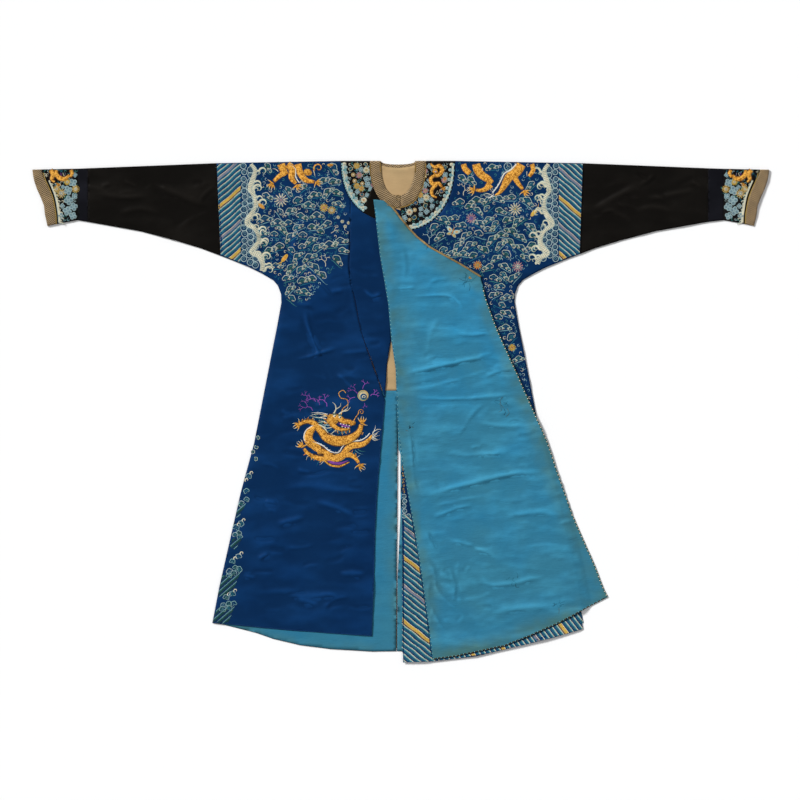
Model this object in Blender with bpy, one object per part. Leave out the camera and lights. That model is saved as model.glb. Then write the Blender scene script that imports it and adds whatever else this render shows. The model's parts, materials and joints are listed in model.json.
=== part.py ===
"""Chinese dragon robe, laid out flat with its front overlap turned back to show the lining.

Every piece is cut flat, then laid. The cut is drawn in millimetres on two axes: `out` runs across the
robe from its centre line (plus is the wearer's left), and `down` runs from the shoulder line, plus on
the front and minus on the back. Pieces that pass over the shoulder bend round it; the overlap bends
round the line it is turned back on. Each piece is then given its thickness.
"""

import math

import bpy
import bmesh
from mathutils import Matrix, Vector
from mathutils.geometry import delaunay_2d_cdt

MM = 0.001

# ---- cloth and layers, mm ----
SILK = 1.2
LINING = 1.0
SEAM = 0.3
BACK_LEVEL = SILK / 2
BACK_LINING_LEVEL = SILK + SEAM + LINING / 2
FRONT_LEVEL = 4.0
SHOULDER_RADIUS = (FRONT_LEVEL - BACK_LEVEL) / 2
SHOULDER_REACH = SHOULDER_RADIUS + SILK / 2
FOLD_STEPS = 6

# ---- the edges where front and back are sewn together, mm ----
CLOSING_LEVEL = BACK_LEVEL + SILK + SEAM
CLOSING_WIDTH = 12.0
LINING_MARGIN = 16.0

# ---- the sleeve: its seams, from the centre line ----
SILK_END = {
    "right": {"top": 516.0, "under": 505.0},
    "left": {"top": 526.0, "under": 517.0},
}
EXTENSION_END = 880.0
STRIP_WIDTH = {"right": 29.0, "left": 45.0}

# The shoulder line falls a little towards the cuff.
SHOULDER = (
    {"out": 0.0, "down": 0.0},
    {"out": 160.0, "down": 0.0},
    {"out": 525.0, "down": 6.5},
    {"out": 909.0, "down": 22.0},
    {"out": 1100.0, "down": 26.0},
)
# The underarm edge, from the silk's end to the armpit, then the side seam to the hem.
UNDERARM_AND_SIDE = (
    {"out": 525.0, "down": 261.0},
    {"out": 491.0, "down": 274.0},
    {"out": 423.0, "down": 301.0},
    {"out": 389.0, "down": 318.0},
    {"out": 355.0, "down": 338.0},
    {"out": 341.0, "down": 354.0},
    {"out": 332.0, "down": 378.0},
    {"out": 331.0, "down": 402.0},
    {"out": 343.0, "down": 469.0},
    {"out": 360.0, "down": 554.0},
    {"out": 382.0, "down": 667.0},
    {"out": 409.0, "down": 804.0},
    {"out": 446.0, "down": 940.0},
    {"out": 477.0, "down": 1076.0},
    {"out": 508.0, "down": 1213.0},
)
# The underarm edge of the added sleeve, from the silk's end to the cuff's seam.
SLEEVE_UNDERARM = (
    {"out": 525.0, "down": 261.0},
    {"out": 560.0, "down": 248.0},
    {"out": 628.0, "down": 227.0},
    {"out": 730.0, "down": 200.0},
    {"out": 880.0, "down": 173.0},
    {"out": 909.0, "down": 168.0},
)
ARMPIT_ROWS = 7
# The horse-hoof cuff, past its seam: the brocade's two edges, and the flare along the bottom.
CUFF_MOUTH = (
    {"past": 127.0, "inner": 99.0, "down": 40.0},
    {"past": 124.0, "inner": 91.0, "down": 56.0},
    {"past": 116.0, "inner": 80.0, "down": 80.0},
    {"past": 105.0, "inner": 71.0, "down": 104.0},
    {"past": 96.0, "inner": 66.0, "down": 127.0},
    {"past": 93.0, "inner": 62.0, "down": 153.0},
)
CUFF_TOP = {"past": 129.0, "inner": 103.0}
CUFF_TIP = {"past": 86.0, "down": 185.0}
CUFF_HEEL = {"past": 61.0, "down": 179.0}
CUFF_TOP_AT = {"inner": 120.0, "outer": 150.0}
CUFF_SEAM = 0.4

# ---- hems, as down at each out ----
BACK_HEM = (
    {"out": 527.0, "down": 1312.0},
    {"out": 498.0, "down": 1316.0},
    {"out": 403.0, "down": 1340.0},
    {"out": 355.0, "down": 1357.0},
    {"out": 278.0, "down": 1375.0},
    {"out": 193.0, "down": 1386.0},
    {"out": 74.0, "down": 1393.0},
)
LEFT_FRONT_HEM = (
    {"out": 525.0, "down": 1329.0},
    {"out": 446.0, "down": 1352.0},
    {"out": 355.0, "down": 1375.0},
    {"out": 219.0, "down": 1407.0},
    {"out": 99.0, "down": 1421.0},
)
RIGHT_FRONT_HEM = (
    {"out": 527.0, "down": 1312.0},
    {"out": 307.0, "down": 1333.0},
)

# ---- the neck: widths and drops of its rings, as rounded ovals ----
OVAL_POWER = 2.3
NECK_EDGE = {"half_width": 49.0, "front": 99.0, "back": 10.0}
NECKBAND_OUTER = {"half_width": 80.0, "front": 133.0, "back": 39.0}
COLLAR_OUTER = {"half_width": 163.0, "front": 200.0, "back": 120.0}
UNDERLAP_COLLAR_DROP = 173.0
COLLAR_CUT_ANGLES = {"outer": 126.0, "inner": 150.0}
# Where a cut crosses a ring, the next piece starts this many degrees on, to leave the seam open.
CUT_GAP = {"band": 0.2, "band_inner": 0.35, "outer": 0.2, "inner": 0.6}
RING_STEP_ANGLE = 11.25
RING_END_GAP = 1.0

# ---- the centre: slits and the seam of the overlap ----
BACK_SLIT_TOP = 764.0
BACK_SLIT_OPENING = (
    {"right": 0.0, "left": 0.0, "down": 764.0},
    {"right": 1.0, "left": 7.0, "down": 826.0},
    {"right": 2.0, "left": 7.0, "down": 1000.0},
    {"right": 4.0, "left": -1.6, "down": 1190.0},
    {"right": 5.0, "left": -2.6, "down": 1392.0},
)
OVERLAP_SEAM = (
    {"out": 7.0, "down": 100.0},
    {"out": 7.0, "down": 210.0},
    {"out": 10.0, "down": 818.0},
    {"out": 14.0, "down": 1424.0},
)

# ---- the underlap ----
UNDERLAP_HIDDEN_EDGE = 20.0
UNDERLAP_EDGE = (
    {"out": -20.0, "down": 510.0},
    {"out": -31.0, "down": 579.0},
    {"out": -37.0, "down": 679.0},
    {"out": -45.0, "down": 775.0},
    {"out": -57.0, "down": 912.0},
    {"out": -65.0, "down": 1048.0},
    {"out": -68.0, "down": 1184.0},
    {"out": -74.0, "down": 1349.0},
)
GORE_SEAM = (
    {"out": -136.0, "down": 176.0},
    {"out": -139.0, "down": 304.0},
    {"out": -134.0, "down": 352.0},
    {"out": -122.0, "down": 390.0},
    {"out": -105.0, "down": 483.0},
    {"out": -37.0, "down": 679.0},
)
GORE_TOP_ANGLE = 143.0
GORE_TIP = {"out": -36.6, "down": 672.0}
GORE_GAP = 0.35

# ---- the overlap, turned back ----
TURN_RADIUS = 0.9
LINING_LIFT = SILK / 2 + SEAM + LINING / 2
ROOT_LEVEL = FRONT_LEVEL + SILK + SEAM
TURN_LINE = (
    {"out": -68.0, "down": 100.0},
    {"out": -49.0, "down": 265.0},
    {"out": -25.0, "down": 406.0},
    {"out": -16.0, "down": 510.0},
    {"out": -4.0, "down": 590.0},
    {"out": 4.0, "down": 818.0},
    {"out": 4.0, "down": 1500.0},
)
OVERLAP_SLIT = (
    {"out": 17.0, "down": 883.0},
    {"out": 29.0, "down": 950.0},
    {"out": 54.0, "down": 1092.0},
    {"out": 80.0, "down": 1270.0},
    {"out": 98.0, "down": 1415.0},
)
OVERLAP_HEM = (
    {"out": 160.0, "down": 1407.0},
    {"out": 301.0, "down": 1377.0},
    {"out": 372.0, "down": 1349.0},
    {"out": 463.0, "down": 1309.0},
    {"out": 518.0, "down": 1279.0},
    {"out": 596.0, "down": 1238.0},
)
OVERLAP_SIDE = (
    {"out": 585.0, "down": 1216.0},
    {"out": 557.0, "down": 1144.0},
    {"out": 497.0, "down": 1008.0},
    {"out": 449.0, "down": 872.0},
    {"out": 426.0, "down": 801.0},
    {"out": 388.0, "down": 716.0},
    {"out": 341.0, "down": 610.0},
    {"out": 282.0, "down": 480.0},
    {"out": 251.0, "down": 395.0},
    {"out": 234.0, "down": 331.0},
)
OVERLAP_CURVE = (
    {"out": 234.0, "down": 331.0},
    {"out": 176.0, "down": 295.0},
    {"out": 125.0, "down": 267.0},
    {"out": 89.0, "down": 247.0},
    {"out": 54.0, "down": 219.0},
    {"out": 33.0, "down": 197.0},
    {"out": 7.0, "down": 166.0},
    {"out": -17.0, "down": 134.0},
    {"out": -40.0, "down": 113.0},
)
OVERLAP_TOP = 110.0
OVERLAP_SLIT_TOP = {"out": 8.0, "down": 838.0}
OVERLAP_NECK_START = -62.0
ROOT_NECK = (
    {"out": -45.0, "down": 121.0},
    {"out": -20.0, "down": 132.0},
)
ROOT_BELOW_BAND = 7.0
ROOT_RAMP = (-17.0, 7.0)
LEVELLING_WIDTH = 20.0
LINING_WRAP_ANGLE = 10.0
SIDE_CLEAR = 4.0
SIDE_RAMP_END = 34.0
EDGING_WIDTH = 5.0
EDGING = 0.8

# ---- linings and the fastening loop ----
LINING_NECK = (
    {"out": 120.0, "down": 16.0},
    {"out": 75.0, "down": 16.0},
    {"out": 49.0, "down": 12.0},
    {"out": 30.0, "down": 17.0},
    {"out": 0.0, "down": 20.0},
)
LINING_JOIN = 652.0
LINING_SLIT_SETBACK = 0.55
LINING_HEM_SETBACK = 1.0
LOOP = {"out": 0.0, "down": 104.0, "radius": 6.5, "cord": 1.2, "sides": 8, "steps": 16}

CUT_TOLERANCE = 0.01
INSET_OVERRUN = 3.0
FAR = 2000.0


def rows(table, across="out"):
    """The table's points as (across, down)."""
    return [(row[across], row["down"]) for row in table]


def between(table, down):
    """The `out` of a line at this `down`, read between its rows."""
    return interpolate([(row["down"], row["out"]) for row in table], down)


def interpolate(points, at):
    if at <= points[0][0]:
        return points[0][1]
    for (start, low), (end, high) in zip(points, points[1:]):
        if at <= end:
            return low + (high - low) * (at - start) / (end - start)
    return points[-1][1]


def shoulder_down(out):
    return interpolate([(row["out"], row["down"]) for row in SHOULDER], abs(out))


def under_down(out):
    """The underarm edge's `down` at this `out`, on the silk."""
    return interpolate([(row["out"], row["down"]) for row in UNDERARM_AND_SIDE[ARMPIT_ROWS - 1 :: -1]], out)


def sewn_edge(side, hem):
    """The underarm and side, from the silk's end to the corner of a hem."""
    end = SILK_END[side]["under"]
    return [(end, under_down(end))] + rows(UNDERARM_AND_SIDE)[1:] + [(hem[0]["out"], hem[0]["down"])]


def mirrored(points):
    return [(-out, down) for out, down in points]


def on_back(points):
    return [(out, -down) for out, down in points]


def shifted(points, out):
    return [(x + out, down) for x, down in points]


def inside(outline, x, y):
    """Whether the point is within the closed outline."""
    found = False
    for (x0, y0), (x1, y1) in zip(outline, outline[1:] + outline[:1]):
        if (y0 > y) != (y1 > y) and x < x0 + (x1 - x0) * (y - y0) / (y1 - y0):
            found = not found
    return found


def gap_to(line, x, y):
    """The distance from a point to a line of points."""
    point = Vector((x, y))
    nearest = FAR
    for start, end in zip(line, line[1:]):
        a = Vector(start)
        run = Vector(end) - a
        part = max(0.0, min(1.0, (point - a).dot(run) / run.length_squared))
        nearest = min(nearest, (point - a - run * part).length)
    return nearest


def inset(line, distance):
    """The line moved to its left by a distance, with both ends carried on past it."""
    moved = []
    for index, point in enumerate(line):
        before = Vector(line[max(index - 1, 0)])
        after = Vector(line[min(index + 1, len(line) - 1)])
        run = (after - before).normalized()
        moved.append((point[0] - run.y * distance, point[1] + run.x * distance))
    overrun = distance * INSET_OVERRUN
    first = Vector(moved[0]) + (Vector(moved[0]) - Vector(moved[1])).normalized() * overrun
    last = Vector(moved[-1]) + (Vector(moved[-1]) - Vector(moved[-2])).normalized() * overrun
    return [tuple(first)] + moved + [tuple(last)]


def cut_cloth(outline, bends):
    """A flat piece as points and triangles: its outline, with an edge along each line that it bends on."""
    points = [Vector(point) for point in outline]
    edges = [(i, (i + 1) % len(points)) for i in range(len(points))]
    for bend in bends:
        start = len(points)
        points += [Vector(point) for point in bend]
        edges += [(i, i + 1) for i in range(start, len(points) - 1)]
    cut, _, faces, _, _, _ = delaunay_2d_cdt(points, edges, [], 0, CUT_TOLERANCE)
    kept = []
    for face in faces:
        middle = sum((cut[i] for i in face), Vector((0.0, 0.0))) / len(face)
        if inside(outline, middle.x, middle.y):
            kept.append(face)
    return cut, kept


def cloth(name, outline, bends, lay, thickness, finish):
    """One piece: cut flat, laid in place by `lay`, and given its thickness."""
    cut, faces = cut_cloth(outline, bends)
    mesh = bpy.data.meshes.new(name)
    form = bmesh.new()
    used = {}
    for face in faces:
        for index in face:
            if index not in used:
                used[index] = form.verts.new(Vector(lay(*cut[index])) * MM)
        form.faces.new([used[index] for index in face])
    bmesh.ops.recalc_face_normals(form, faces=form.faces)
    form.to_mesh(mesh)
    form.free()
    piece = bpy.data.objects.new(name, mesh)
    bpy.context.scene.collection.objects.link(piece)
    wall = piece.modifiers.new("wall", "SOLIDIFY")
    wall.thickness = thickness * MM
    wall.offset = 0.0
    wall.use_even_offset = True
    wall.use_quality_normals = True
    piece.data.materials.append(material(name, *finish))
    return piece


def material(name, colour, roughness):
    made = bpy.data.materials.new(name)
    made.use_nodes = True
    shader = made.node_tree.nodes["Principled BSDF"]
    shader.inputs["Base Color"].default_value = (*colour, 1.0)
    shader.inputs["Roughness"].default_value = roughness
    shader.inputs["Metallic"].default_value = 0.0
    return made


# ---- laying over the shoulder ----
QUARTER = math.pi * SHOULDER_RADIUS / 2


def to_cut(out, down):
    """A place on the laid robe, as a point of the flat cut."""
    past = abs(down) - shoulder_down(out)
    if past < SHOULDER_REACH:
        along = max(past, 0.0) * QUARTER / SHOULDER_REACH
    else:
        along = past - SHOULDER_REACH + QUARTER
    return (out, math.copysign(along, down))


def over_shoulder(out, along, closing):
    """The laid place of a cut point, where `closing` is the line that the front is sewn down along."""
    turn = max(-math.pi / 2, min(math.pi / 2, along / SHOULDER_RADIUS))
    flat = max(0.0, abs(along) - QUARTER)
    middle = (FRONT_LEVEL + BACK_LEVEL) / 2
    level = middle + SHOULDER_RADIUS * math.sin(turn)
    if along > 0.0 and closing:
        part = min(1.0, gap_to(closing, out, along) / CLOSING_WIDTH)
        level = min(level, CLOSING_LEVEL + (FRONT_LEVEL - CLOSING_LEVEL) * part)
    down = shoulder_down(out) + SHOULDER_REACH - SHOULDER_RADIUS * math.cos(turn) + flat
    return (out, -down, level)


def shoulder_bends(closing, inward):
    """The rows that a piece turns on at the shoulder, and the row inside its sewn edge."""
    steps = range(-FOLD_STEPS // 2, FOLD_STEPS // 2 + 1)
    levels = [2 * QUARTER * step / FOLD_STEPS for step in steps]
    found = [[(-FAR, level), (FAR, level)] for level in levels]
    if closing:
        found.append(inset(closing, inward * CLOSING_WIDTH))
    return found


def folded_piece(name, outline, closing, inward, finish):
    """A piece of silk over the shoulder. Its outline and sewn edge are given as places on the laid robe."""
    closing = [to_cut(*point) for point in closing]
    return cloth(
        name,
        [to_cut(*point) for point in outline],
        shoulder_bends(closing, inward),
        lambda out, along: over_shoulder(out, along, closing),
        SILK,
        finish,
    )


def flat_piece(name, outline, level, thickness, finish):
    return cloth(name, outline, [], lambda out, down: (out, -down, level), thickness, finish)


# ---- the rings round the neck ----
def oval_point(ring, angle, drop=None):
    """A point of a neck ring. Angles start at the wearer's left shoulder and pass the front at 90."""
    c = math.cos(math.radians(angle))
    s = math.sin(math.radians(angle))
    depth = ring["back"] if s < 0 else ring["front"]
    if drop and s > 0:
        depth = drop
    return (
        ring["half_width"] * math.copysign(abs(c) ** (2 / OVAL_POWER), c),
        depth * math.copysign(abs(s) ** (2 / OVAL_POWER), s),
    )


def oval_angle(ring, out):
    """The angle at which a ring's front crosses this `out`."""
    c = math.copysign((abs(out) / ring["half_width"]) ** (OVAL_POWER / 2), out)
    return math.degrees(math.acos(c))


def arc(ring, start, end, drop=None):
    """Points of a ring from one angle to another, by whole steps with both ends kept."""
    steps = [start, end]
    low, high = min(steps), max(steps)
    count = int(FAR / RING_STEP_ANGLE)
    whole = [k * RING_STEP_ANGLE for k in range(-count, count)]
    steps += [angle for angle in whole if low + RING_END_GAP < angle < high - RING_END_GAP]
    return [oval_point(ring, angle, drop) for angle in sorted(steps, reverse=end < start)]


def grown(ring, by):
    return {key: value + by for key, value in ring.items()}


def neck_pieces():
    """The brocade neckband, the embroidered collar, and the black patch that ends the underlap's neck."""
    seam = OVERLAP_SEAM[0]["out"]
    edge = grown(NECKBAND_OUTER, SEAM)
    join = oval_angle(NECKBAND_OUTER, seam)
    inner_join = oval_angle(NECK_EDGE, seam)
    band = arc(NECKBAND_OUTER, join + CUT_GAP["band"], join + 360.0)
    band += arc(NECK_EDGE, inner_join + 360.0, inner_join + CUT_GAP["band_inner"])
    folded_piece("neckband", band, [], 1, ((0.29, 0.2, 0.1), 0.6))

    last = oval_angle(COLLAR_OUTER, seam + SEAM) + 360.0
    inner_last = oval_angle(edge, seam + SEAM) + 360.0
    cuts = COLLAR_CUT_ANGLES
    # The two halves of the collar reach down by different amounts, so each keeps its own drop.
    collar = arc(COLLAR_OUTER, cuts["outer"], 180.0, UNDERLAP_COLLAR_DROP)[:-1]
    collar += arc(COLLAR_OUTER, 180.0, last)
    collar += arc(edge, inner_last, cuts["inner"])
    folded_piece("collar", collar, [], 1, ((0.03, 0.03, 0.035), 0.6))

    end = oval_angle(COLLAR_OUTER, -UNDERLAP_HIDDEN_EDGE)
    inner_end = oval_angle(edge, -UNDERLAP_HIDDEN_EDGE)
    patch = arc(COLLAR_OUTER, end, cuts["outer"] - CUT_GAP["outer"], UNDERLAP_COLLAR_DROP)
    patch += arc(edge, cuts["inner"] - CUT_GAP["inner"], inner_end)
    folded_piece("underlap_patch", patch, [], 1, ((0.012, 0.011, 0.01), 0.7))


def neck_loop():
    """The cord loop at the front of the neck, a ring of cord lying flat on the brocade."""
    loop = bmesh.new()
    mesh = bpy.data.meshes.new("neck_loop")
    ring = bmesh.ops.create_circle(loop, segments=LOOP["sides"], radius=LOOP["cord"] * MM)
    stand_up = Matrix.Rotation(math.pi / 2, 3, "X")
    bmesh.ops.rotate(loop, verts=ring["verts"], matrix=stand_up)
    bmesh.ops.translate(loop, verts=ring["verts"], vec=(LOOP["radius"] * MM, 0.0, 0.0))
    bmesh.ops.spin(
        loop,
        geom=loop.edges[:],
        axis=(0, 0, 1),
        cent=(0, 0, 0),
        angle=2 * math.pi,
        steps=LOOP["steps"],
        use_merge=True,
    )
    bmesh.ops.recalc_face_normals(loop, faces=loop.faces)
    loop.to_mesh(mesh)
    loop.free()
    piece = bpy.data.objects.new("neck_loop", mesh)
    bpy.context.scene.collection.objects.link(piece)
    top = FRONT_LEVEL + SILK / 2 + SEAM + LOOP["cord"]
    piece.location = Vector((LOOP["out"], -LOOP["down"], top)) * MM
    piece.data.materials.append(material("neck_loop", (0.2, 0.14, 0.07), 0.7))


# ---- the main panels ----
def right_panel():
    """The wearer's right: back, shoulder and front with the plain underlap, cut in one."""
    ring = grown(COLLAR_OUTER, SEAM)
    closing = mirrored(sewn_edge("right", RIGHT_FRONT_HEM))
    top = SILK_END["right"]["top"]
    front = arc(ring, 180.0, GORE_TOP_ANGLE, UNDERLAP_COLLAR_DROP + SEAM)
    front += rows(GORE_SEAM) + rows(UNDERLAP_EDGE)[3:]
    front += mirrored(rows(RIGHT_FRONT_HEM))[::-1][:-1]
    front += closing[::-1] + [(-top, shoulder_down(top))]
    back = on_back(closing[:-1]) + on_back(mirrored(rows(BACK_HEM)))
    back += [(-row["right"] - SEAM / 2, -row["down"]) for row in BACK_SLIT_OPENING][::-1]
    back += [(-SEAM / 2, -ring["back"])]
    back += arc(ring, 270.0 - RING_STEP_ANGLE, 180.0)[:-1]
    folded_piece("right_panel", front + back, closing, -1, ((0.006, 0.034, 0.115), 0.5))

    end = oval_angle(ring, -UNDERLAP_HIDDEN_EDGE)
    drop = UNDERLAP_COLLAR_DROP + SEAM
    gore = arc(ring, GORE_TOP_ANGLE - CUT_GAP["outer"], COLLAR_CUT_ANGLES["outer"], drop)
    gore += arc(ring, COLLAR_CUT_ANGLES["outer"], end, drop)[1:]
    gore += rows(UNDERLAP_EDGE)[:2] + [(GORE_TIP["out"], GORE_TIP["down"])]
    gore += shifted(rows(GORE_SEAM), GORE_GAP)[:-1][::-1]
    folded_piece("underlap_gore", gore, [], 1, ((0.006, 0.036, 0.12), 0.5))


def left_panel():
    """The wearer's left: back, shoulder and front, cut in one, as far as the seam of the overlap."""
    ring = grown(COLLAR_OUTER, SEAM)
    closing = sewn_edge("left", LEFT_FRONT_HEM)
    top = SILK_END["left"]["top"]
    seam = [(out + SEAM, down) for out, down in rows(OVERLAP_SEAM)]
    front = arc(ring, 0.0, oval_angle(ring, seam[0][0]))
    front += seam[2:] + rows(LEFT_FRONT_HEM)[::-1][:-1] + closing[::-1] + [(top, shoulder_down(top))]
    back = on_back(closing[:-1]) + on_back(rows(BACK_HEM))
    back += [(row["left"] + SEAM / 2, -row["down"]) for row in BACK_SLIT_OPENING][::-1]
    back += [(SEAM / 2, -ring["back"])]
    back += arc(ring, 270.0 + RING_STEP_ANGLE, 360.0)[:-1]
    folded_piece("left_panel", front + back, closing, 1, ((0.008, 0.04, 0.13), 0.5))


# ---- the sleeves ----
def sleeve_pieces(side):
    """The black extension, its narrow strip, the embroidered cuff and the cuff's brocade edge."""
    turn = mirrored if side == "right" else list
    inward = -1 if side == "right" else 1
    extra = STRIP_WIDTH[side] - STRIP_WIDTH["right"]
    cuff_seam = EXTENSION_END + STRIP_WIDTH[side]
    edge = rows(SLEEVE_UNDERARM)
    silk_end = SILK_END[side]
    heel = (cuff_seam + CUFF_HEEL["past"], CUFF_HEEL["down"])
    tip = (cuff_seam + CUFF_TIP["past"], CUFF_TIP["down"])

    def tube(name, start, end, under, finish):
        """A flat tube from one line across the sleeve to the next, each given for the front."""
        front = start + under + end
        back = on_back(end[::-1] + under[::-1] + start[::-1])
        closing = turn([start[-1]] + under + [end[0]])
        folded_piece(name, turn(front + back), closing, inward, finish)

    def line_at(out, down):
        return [(out, shoulder_down(out)), (out, down)]

    tube(
        f"sleeve_{side}",
        [
            (silk_end["top"] + SEAM, shoulder_down(silk_end["top"])),
            (silk_end["under"] + SEAM, under_down(silk_end["under"])),
        ],
        line_at(EXTENSION_END, edge[4][1])[::-1],
        edge[1:4],
        ((0.013, 0.011, 0.01), 0.75),
    )
    tube(
        f"sleeve_strip_{side}",
        line_at(EXTENSION_END + SEAM, edge[4][1]),
        line_at(cuff_seam, edge[5][1])[::-1],
        [],
        ((0.013, 0.013, 0.018), 0.7),
    )
    brocade = [(cuff_seam + row["inner"], row["down"]) for row in CUFF_MOUTH]
    brocade_top = (cuff_seam + CUFF_TOP["inner"], shoulder_down(EXTENSION_END + extra + CUFF_TOP_AT["inner"]))
    brocade = [brocade_top] + brocade + [heel]
    tube(
        f"cuff_{side}",
        line_at(cuff_seam + SEAM, edge[5][1]),
        brocade[::-1],
        [],
        ((0.04, 0.035, 0.03), 0.6),
    )
    mouth = [(cuff_seam + row["past"], row["down"]) for row in CUFF_MOUTH]
    mouth_top = (cuff_seam + CUFF_TOP["past"], shoulder_down(EXTENSION_END + extra + CUFF_TOP_AT["outer"]))
    mouth = [mouth_top] + mouth + [tip]
    tube(
        f"cuff_edge_{side}",
        shifted(brocade, CUFF_SEAM),
        mouth[::-1],
        [],
        ((0.29, 0.2, 0.1), 0.55),
    )


# ---- the back lining ----
def back_linings():
    """Beige cloth down to the join, and turquoise below it in two pieces, one each side of the slit."""
    side = inset(sewn_edge("right", BACK_HEM), LINING_MARGIN)[1:-1]
    below_armpit = [(down, out) for out, down in side[ARMPIT_ROWS + 1 :]]
    join = interpolate(below_armpit, LINING_JOIN)
    half = [(side[0][0], shoulder_down(side[0][0]) + LINING_MARGIN)]
    half += [point for point in side if point[1] < LINING_JOIN] + [(join, LINING_JOIN)]
    neck = rows(LINING_NECK)
    outline = half + mirrored(half[::-1]) + mirrored(neck)[:-1] + neck[::-1]
    level = BACK_LINING_LEVEL
    flat_piece("lining_back_upper", outline, level, LINING, ((0.66, 0.45, 0.22), 0.85))

    top = LINING_JOIN + SEAM
    lower_side = [(join, top)] + [point for point in side[:-1] if point[1] > LINING_JOIN]
    hem = [(out, down - LINING_HEM_SETBACK) for out, down in rows(BACK_HEM)[1:]]
    for name, turn in (("right", mirrored), ("left", list)):
        slit = [(row[name] + LINING_SLIT_SETBACK, row["down"]) for row in BACK_SLIT_OPENING]
        slit[-1] = (slit[-1][0], slit[-1][1] - LINING_HEM_SETBACK)
        outline = lower_side + hem + slit[::-1] + [(LINING_SLIT_SETBACK, top)]
        flat_piece(f"lining_back_{name}", turn(outline), level, LINING, ((0.05, 0.27, 0.45), 0.8))


# ---- the overlap ----
TURN_QUARTER = math.pi * TURN_RADIUS / 2


def root_level(out):
    """The middle of the overlap's root strip: up on the underlap, and down to the front at its seam."""
    start, end = ROOT_RAMP
    return interpolate([(start, ROOT_LEVEL), (end, FRONT_LEVEL)], out)


def turned_level(out, down):
    """The middle of the turned-back silk: on its own root, then the front, then down beside the robe."""
    start, end = ROOT_RAMP
    steps = [
        (start, ROOT_LEVEL + 2 * TURN_RADIUS),
        (end, FRONT_LEVEL + 2 * TURN_RADIUS),
        (end + LEVELLING_WIDTH, ROOT_LEVEL),
    ]
    over = interpolate(steps, out)
    beyond = out - side_out(down)
    return interpolate([(SIDE_CLEAR, over), (SIDE_RAMP_END, BACK_LEVEL)], beyond)


def side_out(down):
    return between(UNDERARM_AND_SIDE[ARMPIT_ROWS:] + LEFT_FRONT_HEM[:1], down)


def turned_back(across, down, lift):
    """The laid place of a point of the overlap. `across` is 0 on the line it turns on, minus on its root."""
    line = between(TURN_LINE, down)
    turn = max(-math.pi / 2, min(math.pi / 2, across / TURN_RADIUS))
    if abs(across) <= TURN_QUARTER:
        middle = root_level(line) + TURN_RADIUS
        out = line - (TURN_RADIUS + lift) * math.cos(turn)
        return (out, -down, middle + (TURN_RADIUS + lift) * math.sin(turn))
    out = line + abs(across) - TURN_QUARTER
    if across < 0.0:
        return (out, -down, root_level(out) - lift)
    return (out, -down, turned_level(out, down) + lift)


def turned_cut(out, down):
    return (out - between(TURN_LINE, down) + TURN_QUARTER, down)


def root_cut(out, down):
    return (-(out - between(TURN_LINE, down) + TURN_QUARTER), down)


def turn_bends():
    """The lines that the overlap bends on: round the turn, off its root, and down beside the robe."""
    seam_rows = TURN_LINE + UNDERARM_AND_SIDE[ARMPIT_ROWS:]
    stations = sorted({row["down"] for row in seam_rows})
    found = []
    for step in range(-FOLD_STEPS // 2, FOLD_STEPS // 2 + 1):
        across = 2 * TURN_QUARTER * step / FOLD_STEPS
        found.append([(across, down) for down in stations])
    last_turn = [down for down in stations if down <= TURN_LINE[3]["down"]]
    start, end = ROOT_RAMP
    found.append([turned_cut(start, down) for down in last_turn])
    for out in (end, end + LEVELLING_WIDTH):
        found.append([turned_cut(out, down) for down in stations])
    found.append([root_cut(start, down) for down in last_turn])
    side = [row["down"] for row in UNDERARM_AND_SIDE[ARMPIT_ROWS + 1 :]] + [LEFT_FRONT_HEM[0]["down"]]
    for beyond in (SIDE_CLEAR, SIDE_RAMP_END):
        found.append([turned_cut(side_out(down) + beyond, down) for down in side])
    return found


def overlap_edge():
    """The turned-back outline from the bottom of the turn, round the slit, hem, side and neck curve."""
    slit_top = [turned_cut(OVERLAP_SLIT_TOP["out"], OVERLAP_SLIT_TOP["down"])]
    free = rows(OVERLAP_SLIT) + rows(OVERLAP_HEM) + rows(OVERLAP_SIDE) + rows(OVERLAP_CURVE)[1:]
    return slit_top + [turned_cut(*point) for point in free] + [turned_cut(OVERLAP_NECK_START, OVERLAP_TOP)]


def turned_cloth(name, outline, lift, thickness, finish):
    """A piece that goes round the turn, its middle `lift` outside the middle of the silk."""

    def lay(across, down):
        return turned_back(across, down, lift)

    cloth(name, outline, turn_bends(), lay, thickness, finish)


def overlap():
    """Its silk, face to face with itself at the turn; the lining outside; and the edging on the curve."""
    bottom = OVERLAP_SEAM[2]["down"]
    stations = [row["down"] for row in TURN_LINE if OVERLAP_TOP < row["down"] < bottom]
    seam_stations = [NECKBAND_OUTER["front"] + ROOT_BELOW_BAND, OVERLAP_SEAM[1]["down"]] + stations + [bottom]
    root = [root_cut(between(OVERLAP_SEAM, down), down) for down in seam_stations]
    neck = [root_cut(*point) for point in rows(ROOT_NECK)]
    outline = [(0.0, OVERLAP_TOP)] + neck + root + [(0.0, bottom)] + overlap_edge()
    turned_cloth("overlap_silk", outline, 0.0, SILK, ((0.008, 0.04, 0.13), 0.5))

    wrap = -math.radians(LINING_WRAP_ANGLE) * TURN_RADIUS
    lining = [(wrap, down) for down in [OVERLAP_TOP] + stations + [bottom]] + overlap_edge()
    turned_cloth("overlap_lining", lining, LINING_LIFT, LINING, ((0.045, 0.27, 0.47), 0.8))

    curve = rows(OVERLAP_CURVE)
    inner = inset(curve, EDGING_WIDTH)[1:-1]
    lift = LINING_LIFT + LINING / 2 + SEAM + EDGING / 2
    strip = [turned_cut(*point) for point in curve + inner[::-1]]
    turned_cloth("overlap_edging", strip, lift, EDGING, ((0.2, 0.13, 0.05), 0.6))


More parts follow.
